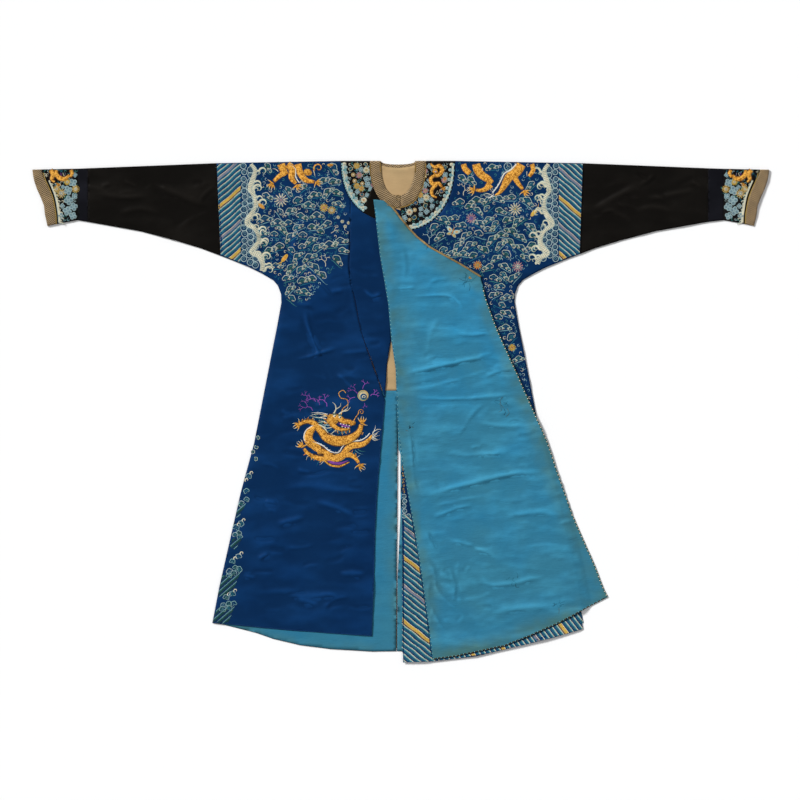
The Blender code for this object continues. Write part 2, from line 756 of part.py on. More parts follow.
def stand_on_origin():
    """Moves the whole robe so that the origin is under the middle of its box."""
    bpy.context.view_layer.update()
    graph = bpy.context.evaluated_depsgraph_get()
    corners = []
    for piece in bpy.context.scene.objects:
        shown = piece.evaluated_get(graph)
        corners += [shown.matrix_world @ Vector(corner) for corner in shown.bound_box]
    middle_x = (min(c.x for c in corners) + max(c.x for c in corners)) / 2
    middle_y = (min(c.y for c in corners) + max(c.y for c in corners)) / 2
    lowest = min(c.z for c in corners)
    for piece in bpy.context.scene.objects:
        piece.location -= Vector((middle_x, middle_y, lowest))


for old in list(bpy.data.objects):
    bpy.data.objects.remove(old)
right_panel()
left_panel()
back_linings()
for wearer_side in ("right", "left"):
    sleeve_pieces(wearer_side)
neck_pieces()
neck_loop()
overlap()
stand_on_origin()
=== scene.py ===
"""Chinese dragon robe, laid out flat with its front overlap turned back: its cloth and needlework.

The robe's own measures are in millimetres on its cut: `out` runs across from the centre line (plus
is the wearer's left), and `down` runs from the shoulder line towards the hem.
"""

import json
import random
from math import ceil, copysign, cos, dist, floor, pi, radians, sin, sqrt, tau

import bmesh
import bpy
import numpy as np
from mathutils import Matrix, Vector, noise
from mathutils.bvhtree import BVHTree
from mathutils.geometry import delaunay_2d_cdt
from mathutils.kdtree import KDTree

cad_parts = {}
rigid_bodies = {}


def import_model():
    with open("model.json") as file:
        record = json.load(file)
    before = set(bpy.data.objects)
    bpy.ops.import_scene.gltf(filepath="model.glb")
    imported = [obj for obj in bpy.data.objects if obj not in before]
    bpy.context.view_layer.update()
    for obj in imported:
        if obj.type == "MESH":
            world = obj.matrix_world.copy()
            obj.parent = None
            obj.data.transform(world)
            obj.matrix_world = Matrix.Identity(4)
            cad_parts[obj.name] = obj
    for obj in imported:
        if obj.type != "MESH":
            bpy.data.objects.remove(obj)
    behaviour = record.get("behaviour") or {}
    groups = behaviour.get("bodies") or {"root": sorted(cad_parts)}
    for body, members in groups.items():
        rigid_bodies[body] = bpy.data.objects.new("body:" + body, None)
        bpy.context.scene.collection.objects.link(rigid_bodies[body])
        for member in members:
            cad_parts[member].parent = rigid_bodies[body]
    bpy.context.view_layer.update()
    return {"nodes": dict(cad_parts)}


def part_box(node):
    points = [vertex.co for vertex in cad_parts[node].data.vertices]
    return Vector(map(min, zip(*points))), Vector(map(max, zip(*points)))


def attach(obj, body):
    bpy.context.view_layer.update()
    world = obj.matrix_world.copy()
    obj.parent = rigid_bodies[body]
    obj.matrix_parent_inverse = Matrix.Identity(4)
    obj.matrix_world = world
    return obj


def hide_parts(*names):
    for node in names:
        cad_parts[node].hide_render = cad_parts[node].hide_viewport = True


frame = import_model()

MM = 0.001

# ---- The laying-out board ------------------------------------------------------------------------
# A white board under large soft lamps, looked at from straight above. The robe lies on it with its
# sleeves spread, so the lens looks down at a point a little above the middle of the cloth.

BOARD_SIDE = 60.0
BOARD_DROP = 0.0002
LOOKED_AT = (-0.0023, 0.0332)
SEEN_WIDTH = 2.272
LENS_HEIGHT = 12.0
SENSOR = 36.0


def put(name, data):
    """A new object of this name in the scene."""
    thing = bpy.data.objects.new(name, data)
    bpy.context.scene.collection.objects.link(thing)
    return thing


def node(tree, kind, inputs=None, **settings):
    """A shader node with its settings, its inputs given as values or as other nodes' outputs."""
    made = tree.nodes.new("ShaderNode" + kind)
    for key, value in settings.items():
        setattr(made, key, value)
    for key, value in (inputs or {}).items():
        if isinstance(value, bpy.types.NodeSocket):
            tree.links.new(value, made.inputs[key])
        else:
            made.inputs[key].default_value = value
    return made


def finish(name, rough, gloss=0.5, sheen=0.0, sheen_tint=(1.0, 1.0, 1.0)):
    """A material, its tree and its one shader, with the even values set on the shader."""
    material = bpy.data.materials.new(name)
    material.use_nodes = True
    tree = material.node_tree
    shader = tree.nodes["Principled BSDF"]
    shader.inputs["Roughness"].default_value = rough
    shader.inputs["Specular IOR Level"].default_value = gloss
    shader.inputs["Sheen Weight"].default_value = sheen
    shader.inputs["Sheen Roughness"].default_value = 0.4
    shader.inputs["Sheen Tint"].default_value = (*sheen_tint, 1.0)
    return material, tree, shader


bpy.context.scene.view_settings.view_transform = "Standard"
board_white, board_tree, board_shader = finish("board_white", 0.9, gloss=0.1)
board_grain = node(board_tree, "TexNoise", {"Scale": 3.0, "Detail": 2.0})
board_tone = node(
    board_tree,
    "Mix",
    {"Factor": board_grain.outputs["Fac"], "A": (0.90, 0.90, 0.90, 1), "B": (0.92, 0.92, 0.92, 1)},
    data_type="RGBA",
)
board_tree.links.new(board_tone.outputs["Result"], board_shader.inputs["Base Color"])
board_form = bmesh.new()
bmesh.ops.create_grid(board_form, x_segments=2, y_segments=2, size=BOARD_SIDE / 2)
board_mesh = bpy.data.meshes.new("board")
board_form.to_mesh(board_mesh)
board_form.free()
board_mesh.materials.append(board_white)
board = put("board", board_mesh)
board.location.z = -BOARD_DROP

room = bpy.data.worlds.new("room")
room.use_nodes = True
room.node_tree.nodes["Background"].inputs["Color"].default_value = (0.98, 0.99, 1.0, 1.0)
room.node_tree.nodes["Background"].inputs["Strength"].default_value = 0.36
bpy.context.scene.world = room
for lamp_name, place, softness, power in (
    ("window_light", (-4.9, 4.0, 4.1), 14.0, 3.84),
    ("far_light", (4.0, -2.5, 6.0), 40.0, 0.35),
):
    lamp = bpy.data.lights.new(lamp_name, "SUN")
    lamp.angle = radians(softness)
    lamp.energy = power
    lamp_stand = put(lamp_name, lamp)
    lamp_stand.location = place
    lamp_stand.rotation_euler = (-Vector(place)).to_track_quat("-Z", "Y").to_euler()

lens = bpy.data.cameras.new("lens")
lens.sensor_width = SENSOR
lens.lens = SENSOR * LENS_HEIGHT / SEEN_WIDTH
lens.clip_end = 200.0
camera = put("camera", lens)
camera.location = (*LOOKED_AT, LENS_HEIGHT)
bpy.context.scene.camera = camera

# ---- Blue satin: the two halves of the robe and the underlap's gore ------------------------------
# Warp-faced silk satin, dyed deep blue. Each half is one length that passes over the shoulder from
# the front hem to the back hem; the front of the right half is the underlap, widened by a gore.

CENTRE = (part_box("neckband")[0].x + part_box("neckband")[1].x) / 2
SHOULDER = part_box("left_panel")[1].y
LEVEL_FACE = 0.85
FRONT_STARTS = 1.4
FRONT_IS_FULL = 3.3
FINE = 4.7
COARSE = 22.0
UNDER_FLAP = 3.0
FLAP_LEVEL = 0.005
CLEAR_OF_FLAP = 22.0

FOLD_NARROWING = 0.62
FOLD_HEIGHTENING = 2.4
FOLD_STEP = 12.0
FOLD_REACH = 4.0
FOLD_FADE = 0.3
HOLLOW_DEPTH = 0.45
HOLLOW_AWAY = 1.7
HOLLOW_WIDTH = 1.2
FLOOR_SOFTNESS = 0.16
RIDGE_FULL = 4.0
SHARP_CORNER = radians(50)

# Soft folds left by storing the robe folded: how wide and high each is (a trough has a minus), and
# the line that it runs along.
SILK_FOLDS = (
    (9, 1.7, ((-265, 415), (-258, 466), (-233, 525), (-210, 574), (-182, 642))),
    (8, -1.6, ((-258, 415), (-236, 497), (-199, 608), (-179, 667))),
    (6, -1.1, ((-132, 177), (-139, 295), (-131, 335), (-122, 398), (-102, 491))),
    (9, 2.0, ((-102, 361), (-72, 385), (-43, 374))),
    (10, 1.4, ((-176, 599), (-119, 656))),
    (8, 1.5, ((-304, 565), (-261, 557), (-236, 550), (-170, 532))),
    (9, 1.3, ((-287, 875), (-244, 886))),
    (10, 1.5, ((-381, 966), (-341, 971))),
    (13, 1.6, ((-236, 963), (-170, 985), (-111, 1011))),
    (9, -1.3, ((-131, 1000), (-85, 997))),
    (12, 1.5, ((-346, 1031), (-258, 1008))),
    (10, -1.5, ((-366, 1102), (-315, 1105))),
    (14, 1.5, ((-173, 1173), (-85, 1170))),
    (12, 1.6, ((-292, 1241), (-219, 1261))),
    (9, 1.4, ((-398, 1130), (-366, 1113))),
    (10, 1.4, ((-437, 1176), (-400, 1184))),
    (8, -1.0, ((-193, 227), (-150, 229))),
    (10, 1.2, ((-193, 372), (-153, 366))),
    (15, 1.0, ((-300, 700), (-250, 712), (-180, 704))),
    (16, 1.1, ((-330, 930), (-250, 922), (-150, 934), (-90, 926))),
    (17, 1.2, ((-420, 1230), (-330, 1222), (-240, 1236), (-120, 1226))),
    (15, -1.2, ((-300, 1060), (-220, 1070), (-140, 1062))),
    (9, 1.2, ((330, 620), (366, 700), (380, 770))),
    (14, 1.0, ((250, 150), (300, 210), (330, 300))),
    (12, -1.1, ((420, 120), (400, 200), (380, 290))),
    (14, 1.1, ((-260, 150), (-290, 210), (-310, 320))),
    (12, -1.1, ((-420, 110), (-396, 200), (-372, 300))),
    (15, 1.9, ((-700, 60), (-620, 96), (-540, 128))),
    (12, 1.4, ((-860, 88), (-780, 104), (-700, 98))),
    (12, -1.6, ((-640, 190), (-590, 150), (-530, 130))),
    (13, 1.3, ((-800, 150), (-730, 136), (-660, 150))),
    (15, 1.8, ((690, 70), (620, 100), (550, 140))),
    (12, 1.4, ((850, 80), (770, 96), (700, 108))),
    (12, -1.5, ((660, 186), (610, 160), (560, 168))),
    (13, 1.2, ((790, 146), (730, 130), (670, 140))),
)


def at(out, down):
    """A point of the cut in the frame's metres."""
    return CENTRE + out * MM, SHOULDER - down * MM


def soft(value, start, end):
    """0 before start and 1 after end, with a smooth turn between."""
    share = np.clip((np.asarray(value, float) - start) / (end - start), 0.0, 1.0)
    return share * share * (3.0 - 2.0 * share)


def rounded(points, step):
    """A smooth line through given points, read about every `step`."""
    knots = [Vector(p) for p in points]
    if len(knots) < 3:
        spans = max(1, round((knots[-1] - knots[0]).length / step))
        return [knots[0].lerp(knots[-1], i / spans) for i in range(spans + 1)]
    knots = [knots[0] * 2 - knots[1]] + knots + [knots[-1] * 2 - knots[-2]]
    line = [knots[1]]
    for before, start, end, after in zip(knots, knots[1:], knots[2:], knots[3:]):
        spans = max(1, round((end - start).length / step))
        for i in range(1, spans + 1):
            t = i / spans
            line.append(
                0.5
                * (
                    2 * start
                    + (end - before) * t
                    + (2 * before - 5 * start + 4 * end - after) * t * t
                    + (3 * start - before - 3 * end + after) * t * t * t
                )
            )
    return line


def fold_height(places, width, rise, points):
    """How high one soft ridge or trough stands at each place, with a shallow hollow beside it."""
    line = np.array([tuple(p) for p in rounded(points, FOLD_STEP)])
    reach = FOLD_REACH * width
    low, high = line.min(0) - reach, line.max(0) + reach
    near = np.nonzero(((places > low) & (places < high)).all(1))[0]
    height = np.zeros(len(places))
    if not len(near):
        return height
    best, side, along = (np.full(len(near), 1e9), np.zeros(len(near)), np.zeros(len(near)))
    count = len(line) - 1
    for i in range(count):
        run = line[i + 1] - line[i]
        offset = places[near] - line[i]
        share = np.clip(offset @ run / (run @ run), 0.0, 1.0)
        away = offset - share[:, None] * run
        gap = np.hypot(*away.T)
        closer = gap < best
        best = np.where(closer, gap, best)
        side = np.where(closer, np.sign(run[0] * offset[:, 1] - run[1] * offset[:, 0]) * gap, side)
        along = np.where(closer, (i + share) / count, along)
    wide = FOLD_NARROWING * width
    hollow = np.exp(-(((side - HOLLOW_AWAY * wide) / (HOLLOW_WIDTH * wide)) ** 2))
    shape = np.exp(-((side / wide) ** 2)) - HOLLOW_DEPTH * hollow
    past_end = np.where(np.abs(best - np.abs(side)) < 1e-6, 1.0, 0.0)
    fade = soft(np.minimum(along, 1.0 - along), 0.0, FOLD_FADE)
    height[near] = FOLD_HEIGHTENING * rise * shape * fade * past_end
    return height


def unevenness(places, seed, rows):
    """Slack in the cloth: for each (length, breadth, height) row, swells of that size."""
    total = np.zeros(len(places))
    for k, (long, broad, high) in enumerate(rows):
        spots = [Vector((out / long, down / broad, seed + 7.3 * k)) for out, down in places]
        total += high * np.array([noise.noise(spot) for spot in spots])
    return total


def folded(places, folds, seed, rows, rest):
    """Height of the cloth's shown face over the plain solid: it never goes below it."""
    height = unevenness(places, seed, rows) + rest
    for fold in folds:
        height += fold_height(places, *fold)
    return 0.5 * (height + np.sqrt(height * height + FLOOR_SOFTNESS))


def solid_tree(*nodes):
    """A search tree over the solids of these CAD nodes."""
    points, faces = [], []
    for name in nodes:
        data = frame["nodes"][name].data
        start = len(points)
        points += [v.co.copy() for v in data.vertices]
        faces += [[start + i for i in p.vertices] for p in data.polygons]
    return BVHTree.FromPolygons(points, faces)


flap_tree = solid_tree("overlap_silk", "overlap_lining")


def toward(angle):
    """The direction of an angle on the cut."""
    return Vector((cos(angle), sin(angle)))


def square_to(run):
    """A line turned by a quarter."""
    return Vector((-run.y, run.x))


def small_creases(seed, zone, count, lean, deepest, side_limit=0.0):
    """The many small creases between the main folds, shorter and finer, in the box of a zone."""
    chance = random.Random(seed)
    (near, far), (top, bottom) = zone
    made = []
    for _ in range(count):
        down = chance.uniform(top, bottom)
        out = chance.uniform(near, far + side_limit * (down - top) * 0.3)
        heading = chance.gauss(-0.1, 1.0) * lean
        long = chance.uniform(28, 95)
        run = toward(heading) * long / 2
        bow = square_to(run) * chance.uniform(-0.25, 0.25)
        middle = Vector((out, down))
        line = (tuple(middle - run), tuple(middle + bow), tuple(middle + run))
        rise = chance.uniform(0.35, 1.0) * deepest * chance.choice((1, -1, -1))
        made.append((chance.uniform(7, 11), rise, line))
    return tuple(made)


UNDERLAP_CREASES = small_creases(2, ((-400, -90), (620, 1290)), 52, 0.22, 1.2)
UNDERLAP_CREASES += small_creases(3, ((-300, -60), (240, 640)), 26, 0.3, 1.1)
SLEEVE_CREASES = small_creases(4, ((-860, -540), (40, 160)), 14, 0.5, 1.1)
SLEEVE_CREASES += small_creases(8, ((540, 860), (40, 160)), 14, 0.5, 1.1)

# Swells of the laid cloth as (length, breadth, height), and how high it rests above the solid.
FRONT_SWELLS = ((150, 60, 3.2), (46, 20, 1.1), (18, 12, 0.3))
RESTS_ABOVE = 0.7


def front_slack(places, levels):
    """Height of the folds on front silk and sleeves; none where the turned overlap lies on them."""
    creases = UNDERLAP_CREASES + SLEEVE_CREASES
    height = folded(places, SILK_FOLDS + creases, 3.0, FRONT_SWELLS, RESTS_ABOVE)
    clear = np.array([flap_tree.find_nearest((*at(o, d), FLAP_LEVEL))[3] / MM for o, d in places])
    height *= soft(levels, FRONT_STARTS, FRONT_IS_FULL)
    return height * soft(clear, UNDER_FLAP, CLEAR_OF_FLAP)


def level_sides(form):
    """Groups of joined faces of the solid that all look up, or all look down."""
    form.faces.index_update()
    done, groups = set(), []
    for first in list(form.faces):
        if first.index in done or abs(first.normal.z) < LEVEL_FACE:
            continue
        done.add(first.index)
        group, waiting = [], [first]
        while waiting:
            face = waiting.pop()
            group.append(face)
            for edge in face.edges:
                for other in edge.link_faces:
                    same_way = other.normal.z * first.normal.z > 0
                    level = same_way and abs(other.normal.z) >= LEVEL_FACE
                    if level and other.index not in done:
                        done.add(other.index)
                        waiting.append(other)
        groups.append(group)
    return groups


SAME_SPOT = 1e-9


def recut(form, group, spacing):
    """Cuts one level side of the solid into even small triangles, on the same surface."""
    looks_up = group[0].normal.z > 0
    members = set(group)
    corners, index, polygons = [], {}, []
    for face in group:
        for vert in face.verts:
            if vert not in index:
                index[vert] = len(corners)
                corners.append(vert.co.copy())
        polygons.append([index[v] for v in face.verts])
    surface = BVHTree.FromPolygons(corners, polygons)
    rim = []
    for face in group:
        rim += [e for e in face.edges if sum(f in members for f in e.link_faces) == 1]
    bmesh.ops.delete(form, geom=group, context="FACES_ONLY")
    rim_edges = []
    for edge in rim:
        start = edge.verts[0]
        for left in range(ceil(edge.calc_length() / spacing), 1, -1):
            made, start = bmesh.utils.edge_split(edge, start, 1 / left)
            rim_edges.append(made)
        rim_edges.append(edge)
    verts, order = [], {}
    for edge in rim_edges:
        for vert in edge.verts:
            if vert not in order:
                order[vert] = len(verts)
                verts.append(vert)
    flat = [Vector(v.co.xy) for v in verts]
    edges = [(order[e.verts[0]], order[e.verts[1]]) for e in rim_edges]
    near_rim = KDTree(len(flat))
    for i, place in enumerate(flat):
        near_rim.insert((place.x, place.y, 0.0), i)
    near_rim.balance()

    def level_at(x, y):
        """The surface's point over this place."""
        return surface.ray_cast((x, y, 1.0), (0.0, 0.0, -1.0))[0]

    low = Vector((min(p.x for p in flat), min(p.y for p in flat)))
    high = Vector((max(p.x for p in flat), max(p.y for p in flat)))
    row_gap = spacing * sqrt(0.75)
    for j in range(int((high.y - low.y) / row_gap) + 1):
        for i in range(int((high.x - low.x) / spacing) + 2):
            place = Vector((low.x + (i - 0.5 * (j % 2)) * spacing, low.y + j * row_gap))
            if near_rim.find((place.x, place.y, 0.0))[2] < 0.6 * spacing:
                continue
            hit = level_at(place.x, place.y)
            if hit is not None:
                verts.append(form.verts.new(hit))
                flat.append(place)
    _, lines, faces, sources, line_sources, _ = delaunay_2d_cdt(flat, edges, [], 0, SAME_SPOT)
    on_rim = {frozenset(pair) for pair, source in zip(lines, line_sources) if source}
    for face in inner_faces(faces, on_rim):
        corner = [verts[sources[i][0]] for i in face]
        form.faces.new(corner if looks_up else corner[::-1])


def inner_faces(faces, on_rim):
    """The triangles inside the rim: each crossing of the rim, from outside, goes in or out."""
    beside = {}
    for number, face in enumerate(faces):
        for pair in zip(face, face[1:] + face[:1]):
            beside.setdefault(frozenset(pair), []).append(number)
    inside, waiting = {}, []
    for pair, numbers in beside.items():
        if len(numbers) == 1 and numbers[0] not in inside:
            inside[numbers[0]] = pair in on_rim
            waiting.append(numbers[0])
    while waiting:
        number = waiting.pop()
        face = faces[number]
        for pair in zip(face, face[1:] + face[:1]):
            for other in beside[frozenset(pair)]:
                if other not in inside:
                    inside[other] = inside[number] != (frozenset(pair) in on_rim)
                    waiting.append(other)
    return [face for number, face in enumerate(faces) if inside[number]]


def fan(form, face):
    """Splits a face with extra points along its sides into triangles that meet at one corner."""
    verts = list(face.verts)
    count = len(verts)
    turns = []
    for i in range(count):
        before = (verts[i].co - verts[i - 1].co).normalized()
        after = (verts[(i + 1) % count].co - verts[i].co).normalized()
        turns.append(before.angle(after, 0.0) > 1e-3)
    best, best_area = 0, -1.0
    for i in [i for i in range(count) if turns[i]]:
        ring = verts[i:] + verts[:i]
        areas = [
            (b.co - ring[0].co).cross(c.co - ring[0].co).length for b, c in zip(ring[1:], ring[2:])
        ]
        if min(areas) > best_area:
            best, best_area = i, min(areas)
    ring = verts[best:] + verts[:best]
    form.faces.remove(face)
    for b, c in zip(ring[1:], ring[2:]):
        form.faces.new((ring[0], b, c))


def laid_cloth(name, cad_node, material, slack, fine=FINE, coarse=COARSE):
    """The cloth of one CAD solid: its top side fine enough for folds, which `slack` gives in mm."""
    form = bmesh.new()
    form.from_mesh(frame["nodes"][cad_node].data)
    bmesh.ops.remove_doubles(form, verts=form.verts, dist=1e-6)
    form.normal_update()
    groups = level_sides(form)
    heights = []
    for group in groups:
        mean = sum(face.calc_center_median().z for face in group) / len(group)
        heights.append(mean if group[0].normal.z > 0 else 0.0)
    for group, height in zip(groups, heights):
        recut(form, group, MM * (fine if height == max(heights) else coarse))
    bmesh.ops.delete(form, geom=[e for e in form.edges if not e.link_faces], context="EDGES")
    bmesh.ops.delete(form, geom=[v for v in form.verts if not v.link_faces], context="VERTS")
    for face in [f for f in form.faces if len(f.verts) > 3]:
        fan(form, face)
    mesh = bpy.data.meshes.new(name)
    form.to_mesh(mesh)
    form.free()
    points = np.empty(len(mesh.vertices) * 3)
    mesh.vertices.foreach_get("co", points)
    points = points.reshape(-1, 3)
    places = np.column_stack(((points[:, 0] - CENTRE) / MM, (SHOULDER - points[:, 1]) / MM))
    lift = slack(places, points[:, 2] / MM)
    points[:, 2] += MM * lift
    mesh.vertices.foreach_set("co", points.ravel())
    # Share of full fold height at each point: the mask of the painted fold shade and highlight.
    ridges = np.clip(lift / RIDGE_FULL, 0.0, 1.0)
    marks = mesh.color_attributes.new(name="ridges", type="FLOAT_COLOR", domain="POINT")
    marks.data.foreach_set("color", np.repeat(ridges, 4))
    mesh.polygons.foreach_set("use_smooth", [True] * len(mesh.polygons))
    mesh.set_sharp_from_angle(angle=SHARP_CORNER)
    mesh.materials.append(material)
    cloth = put(name, mesh)
    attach(cloth, "root")
    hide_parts(cad_node)
    return cloth


# dark is the painted shade in the troughs; pale lightens the crests, partly wear and partly painted
# highlight.
def fold_wear_and_painted_shade(tree, colour, dark=0.66, pale=1.22):
    """Paler crests (wear and painted highlight) and darker troughs (painted shade) on the folds."""
    ridge = node(tree, "VertexColor", layer_name="ridges").outputs["Color"]
    share = node(tree, "SeparateColor", {0: ridge}).outputs[0]
    return blend(tree, 1.0, colour, blend(tree, share, (dark,) * 3, (pale,) * 3), "MULTIPLY")


def effect(name, inputs, outputs):
    """An empty node group with named number inputs (and their usual values) and named outputs."""
    group = bpy.data.node_groups.new(name, "ShaderNodeTree")
    for socket, value in inputs.items():
        made = group.interface.new_socket(socket, in_out="INPUT", socket_type="NodeSocketFloat")
        made.default_value = value
    for socket in outputs:
        group.interface.new_socket(socket, in_out="OUTPUT", socket_type="NodeSocketFloat")
    return group, group.nodes.new("NodeGroupInput"), group.nodes.new("NodeGroupOutput")


def maths(tree, operation, first, second):
    """One arithmetic node, by its output."""
    return node(tree, "Math", {0: first, 1: second}, operation=operation).outputs[0]


# Silk's slubs and fine crinkles: streaks that run with the weft, as a height and as a shade.
silk_hand, hand_in, hand_out = effect(
    "silk_hand", {"Threads": 420.0, "Crinkle": 26.0, "Crinkle share": 0.6}, ("Height", "Shade")
)
hand_place = node(silk_hand, "TexCoord").outputs["Object"]
hand_weft = node(silk_hand, "Mapping", {"Vector": hand_place, "Scale": (0.22, 1.0, 1.0)})
hand_threads = node(
    silk_hand,
    "TexNoise",
    {"Vector": hand_weft.outputs[0], "Scale": hand_in.outputs["Threads"], "Detail": 2.0},
)
hand_crinkle = node(
    silk_hand,
    "TexNoise",
    {
        "Vector": hand_weft.outputs[0], "Scale": hand_in.outputs["Crinkle"], "Detail": 5.0,
        "Roughness": 0.6
    },
)
hand_share = maths(
    silk_hand, "MULTIPLY", hand_crinkle.outputs["Fac"], hand_in.outputs["Crinkle share"]
)
hand_fine = maths(silk_hand, "MULTIPLY", hand_threads.outputs["Fac"], 0.15)
silk_hand.links.new(maths(silk_hand, "ADD", hand_share, hand_fine), hand_out.inputs["Height"])
silk_hand.links.new(
    maths(silk_hand, "ADD", maths(silk_hand, "MULTIPLY", hand_threads.outputs["Fac"], 0.6), 0.2),
    hand_out.inputs["Shade"],
)

# Uneven colour from light and handling: broad patches, and smaller ones inside them.
fading, fading_in, fading_out = effect("fading", {"Patches": 4.0, "Contrast": 2.2}, ("Faded",))
fading_place = node(fading, "TexCoord").outputs["Object"]
fading_noise = node(
    fading,
    "TexNoise",
    {
        "Vector": fading_place, "Scale": fading_in.outputs["Patches"], "Detail": 4.0,
        "Roughness": 0.55
    },
)
fading_spread = maths(fading, "SUBTRACT", fading_noise.outputs["Fac"], 0.5)
fading_scaled = maths(fading, "MULTIPLY", fading_spread, fading_in.outputs["Contrast"])
fading_sum = node(fading, "Math", {0: fading_scaled, 1: 0.5}, operation="ADD", use_clamp=True)
fading.links.new(fading_sum.outputs[0], fading_out.inputs["Faded"])


def placed(tree, group, **values):
    """One use of a shared effect, with its own values."""
    made = node(tree, "Group", node_tree=group)
    for key, value in values.items():
        made.inputs[key.replace("_", " ")].default_value = value
    return made


def blend(tree, share, first, second, how="MIX"):
    """One colour mixed into another, by its output."""
    made = tree.nodes.new("ShaderNodeMix")
    made.data_type = "RGBA"
    made.blend_type = how
    sockets = {
        "Factor": made.inputs[0],
        "A": next(s for s in made.inputs if s.name == "A" and s.type == "RGBA"),
        "B": next(s for s in made.inputs if s.name == "B" and s.type == "RGBA"),
    }
    for key, value in (("Factor", share), ("A", first), ("B", second)):
        if isinstance(value, bpy.types.NodeSocket):
            tree.links.new(value, sockets[key])
        else:
            plain = isinstance(value, tuple) and len(value) == 3
            sockets[key].default_value = (*value, 1.0) if plain else value
    return next(s for s in made.outputs if s.type == "RGBA")


def bumped(tree, shader, height, distance):
    """Feeds a height into the shader's normal."""
    bump = node(tree, "Bump", {"Height": height, "Distance": distance, "Strength": 1.0})
    tree.links.new(bump.outputs["Normal"], shader.inputs["Normal"])


def silk_finish(
    name, colours, patches=5.0, contrast=2.0, crinkle=26.0, depth=0.0012, **shader_values
):
    """A plain-dyed silk: its two shades in patches, its slubs and fine crinkles, and painted fold
    shade.
    """
    material, tree, shader = finish(name, **shader_values)
    worn = placed(tree, fading, Patches=patches, Contrast=contrast)
    hand = placed(tree, silk_hand, Crinkle=crinkle)
    patchy = blend(tree, worn.outputs["Faded"], colours[0], colours[1])
    slubbed = blend(tree, hand.outputs["Shade"], (0.86, 0.86, 0.86), (1.14, 1.14, 1.14))
    # Painted shade in the fold troughs, and crests paler as wear and painted highlight.
    shade = fold_wear_and_painted_shade(tree, blend(tree, 1.0, patchy, slubbed, "MULTIPLY"))
    tree.links.new(shade, shader.inputs["Base Color"])
    bumped(tree, shader, hand.outputs["Height"], depth)
    return material


blue_satin = silk_finish(
    "blue_satin",
    ((0.0022, 0.0245, 0.094), (0.0044, 0.0365, 0.125)),
    rough=0.48,
    gloss=0.03,
    sheen=0.01,
    sheen_tint=(0.2, 0.4, 1.0),
    depth=0.0016,
)

right_cloth = laid_cloth("right_panel_satin", "right_panel", blue_satin, front_slack)
left_cloth = laid_cloth("left_panel_satin", "left_panel", blue_satin, front_slack)
gore_cloth = laid_cloth("underlap_gore_satin", "underlap_gore", blue_satin, front_slack)

# ---- The back's linings --------------------------------------------------------------------------
# Plain tabby silk, loosely sewn inside the back: undyed beige above, and turquoise at each side of
# the back slit below. They show in the neck, between the fronts, and along the hems.


def lining_slack(places, levels):
    """Fine crinkles in the back's linings, low enough to stay under the fronts."""
    height = unevenness(places, 11.0, ((60, 20, 0.5), (20, 12, 0.3))) + 0.3
    return np.clip(height, 0.0, 0.75) * soft(levels, 1.6, 2.4)


beige_silk = silk_finish(
    "beige_lining_silk",
    ((0.66, 0.44, 0.22), (0.56, 0.40, 0.205)),
    patches=9.0,
    crinkle=18.0,
    rough=0.75,
    gloss=0.08,
    sheen=0.04,
)
upper_lining = laid_cloth(
    "back_lining_beige", "lining_back_upper", beige_silk, lining_slack, 8.0, 30.0
)

turquoise_silk, tq_tree, tq_shader = finish("turquoise_lining_silk", 0.65, gloss=0.05, sheen=0.02)
tq_place = node(tq_tree, "TexCoord").outputs["Object"]
tq_axes = node(tq_tree, "SeparateXYZ", {0: tq_place})
tq_broad = placed(tq_tree, fading, Patches=5.5, Contrast=4.2)
tq_small = placed(tq_tree, fading, Patches=16.0, Contrast=2.2)
tq_hand = placed(tq_tree, silk_hand, Threads=380.0, Crinkle=34.0, Crinkle_share=0.7)
tq_low = node(
    tq_tree, "MapRange", {"Value": tq_axes.outputs["Y"], "From Min": 0.35, "From Max": -0.62}
)
tq_bright = blend(tq_tree, tq_small.outputs["Faded"], (0.024, 0.27, 0.50), (0.046, 0.30, 0.50))
tq_dull = blend(tq_tree, tq_small.outputs["Faded"], (0.030, 0.215, 0.350), (0.044, 0.240, 0.375))
tq_body = blend(tq_tree, tq_low.outputs[0], tq_bright, tq_dull)
tq_edge = node(tq_tree, "VertexColor", layer_name="rubbed").outputs["Color"]
tq_edge_share = node(tq_tree, "SeparateColor", {0: tq_edge}).outputs[0]
tq_streak_place = node(tq_tree, "Mapping", {"Vector": tq_place, "Scale": (1.0, 3.2, 1.0)})
tq_streak = node(
    tq_tree, "TexNoise", {
        "Vector": tq_streak_place.outputs[0], "Scale": 11.0, "Detail": 5.0, "Roughness": 0.65
    }
)
tq_streaked = blend(
    tq_tree,
    maths(tq_tree, "MULTIPLY", tq_streak.outputs["Fac"], 0.85),
    tq_body,
    (0.024, 0.175, 0.320),
)
tq_green_share = maths(tq_tree, "MULTIPLY", tq_broad.outputs["Faded"], 0.42)
tq_faded = blend(tq_tree, tq_green_share, tq_streaked, (0.050, 0.225, 0.300))
tq_green = blend(tq_tree, tq_edge_share, tq_faded, (0.072, 0.190, 0.185))
tq_slub = blend(tq_tree, tq_hand.outputs["Shade"], (0.87, 0.87, 0.87), (1.13, 1.13, 1.13))
# Painted shade in the fold troughs, and crests paler as wear and painted highlight.
tq_fold_painted_shade = fold_wear_and_painted_shade(tq_tree, blend(tq_tree, 1.0, tq_green, tq_slub, "MULTIPLY"), 0.76, 1.10)
tq_tree.links.new(tq_fold_painted_shade, tq_shader.inputs["Base Color"])
bumped(tq_tree, tq_shader, tq_hand.outputs["Height"], 0.0032)


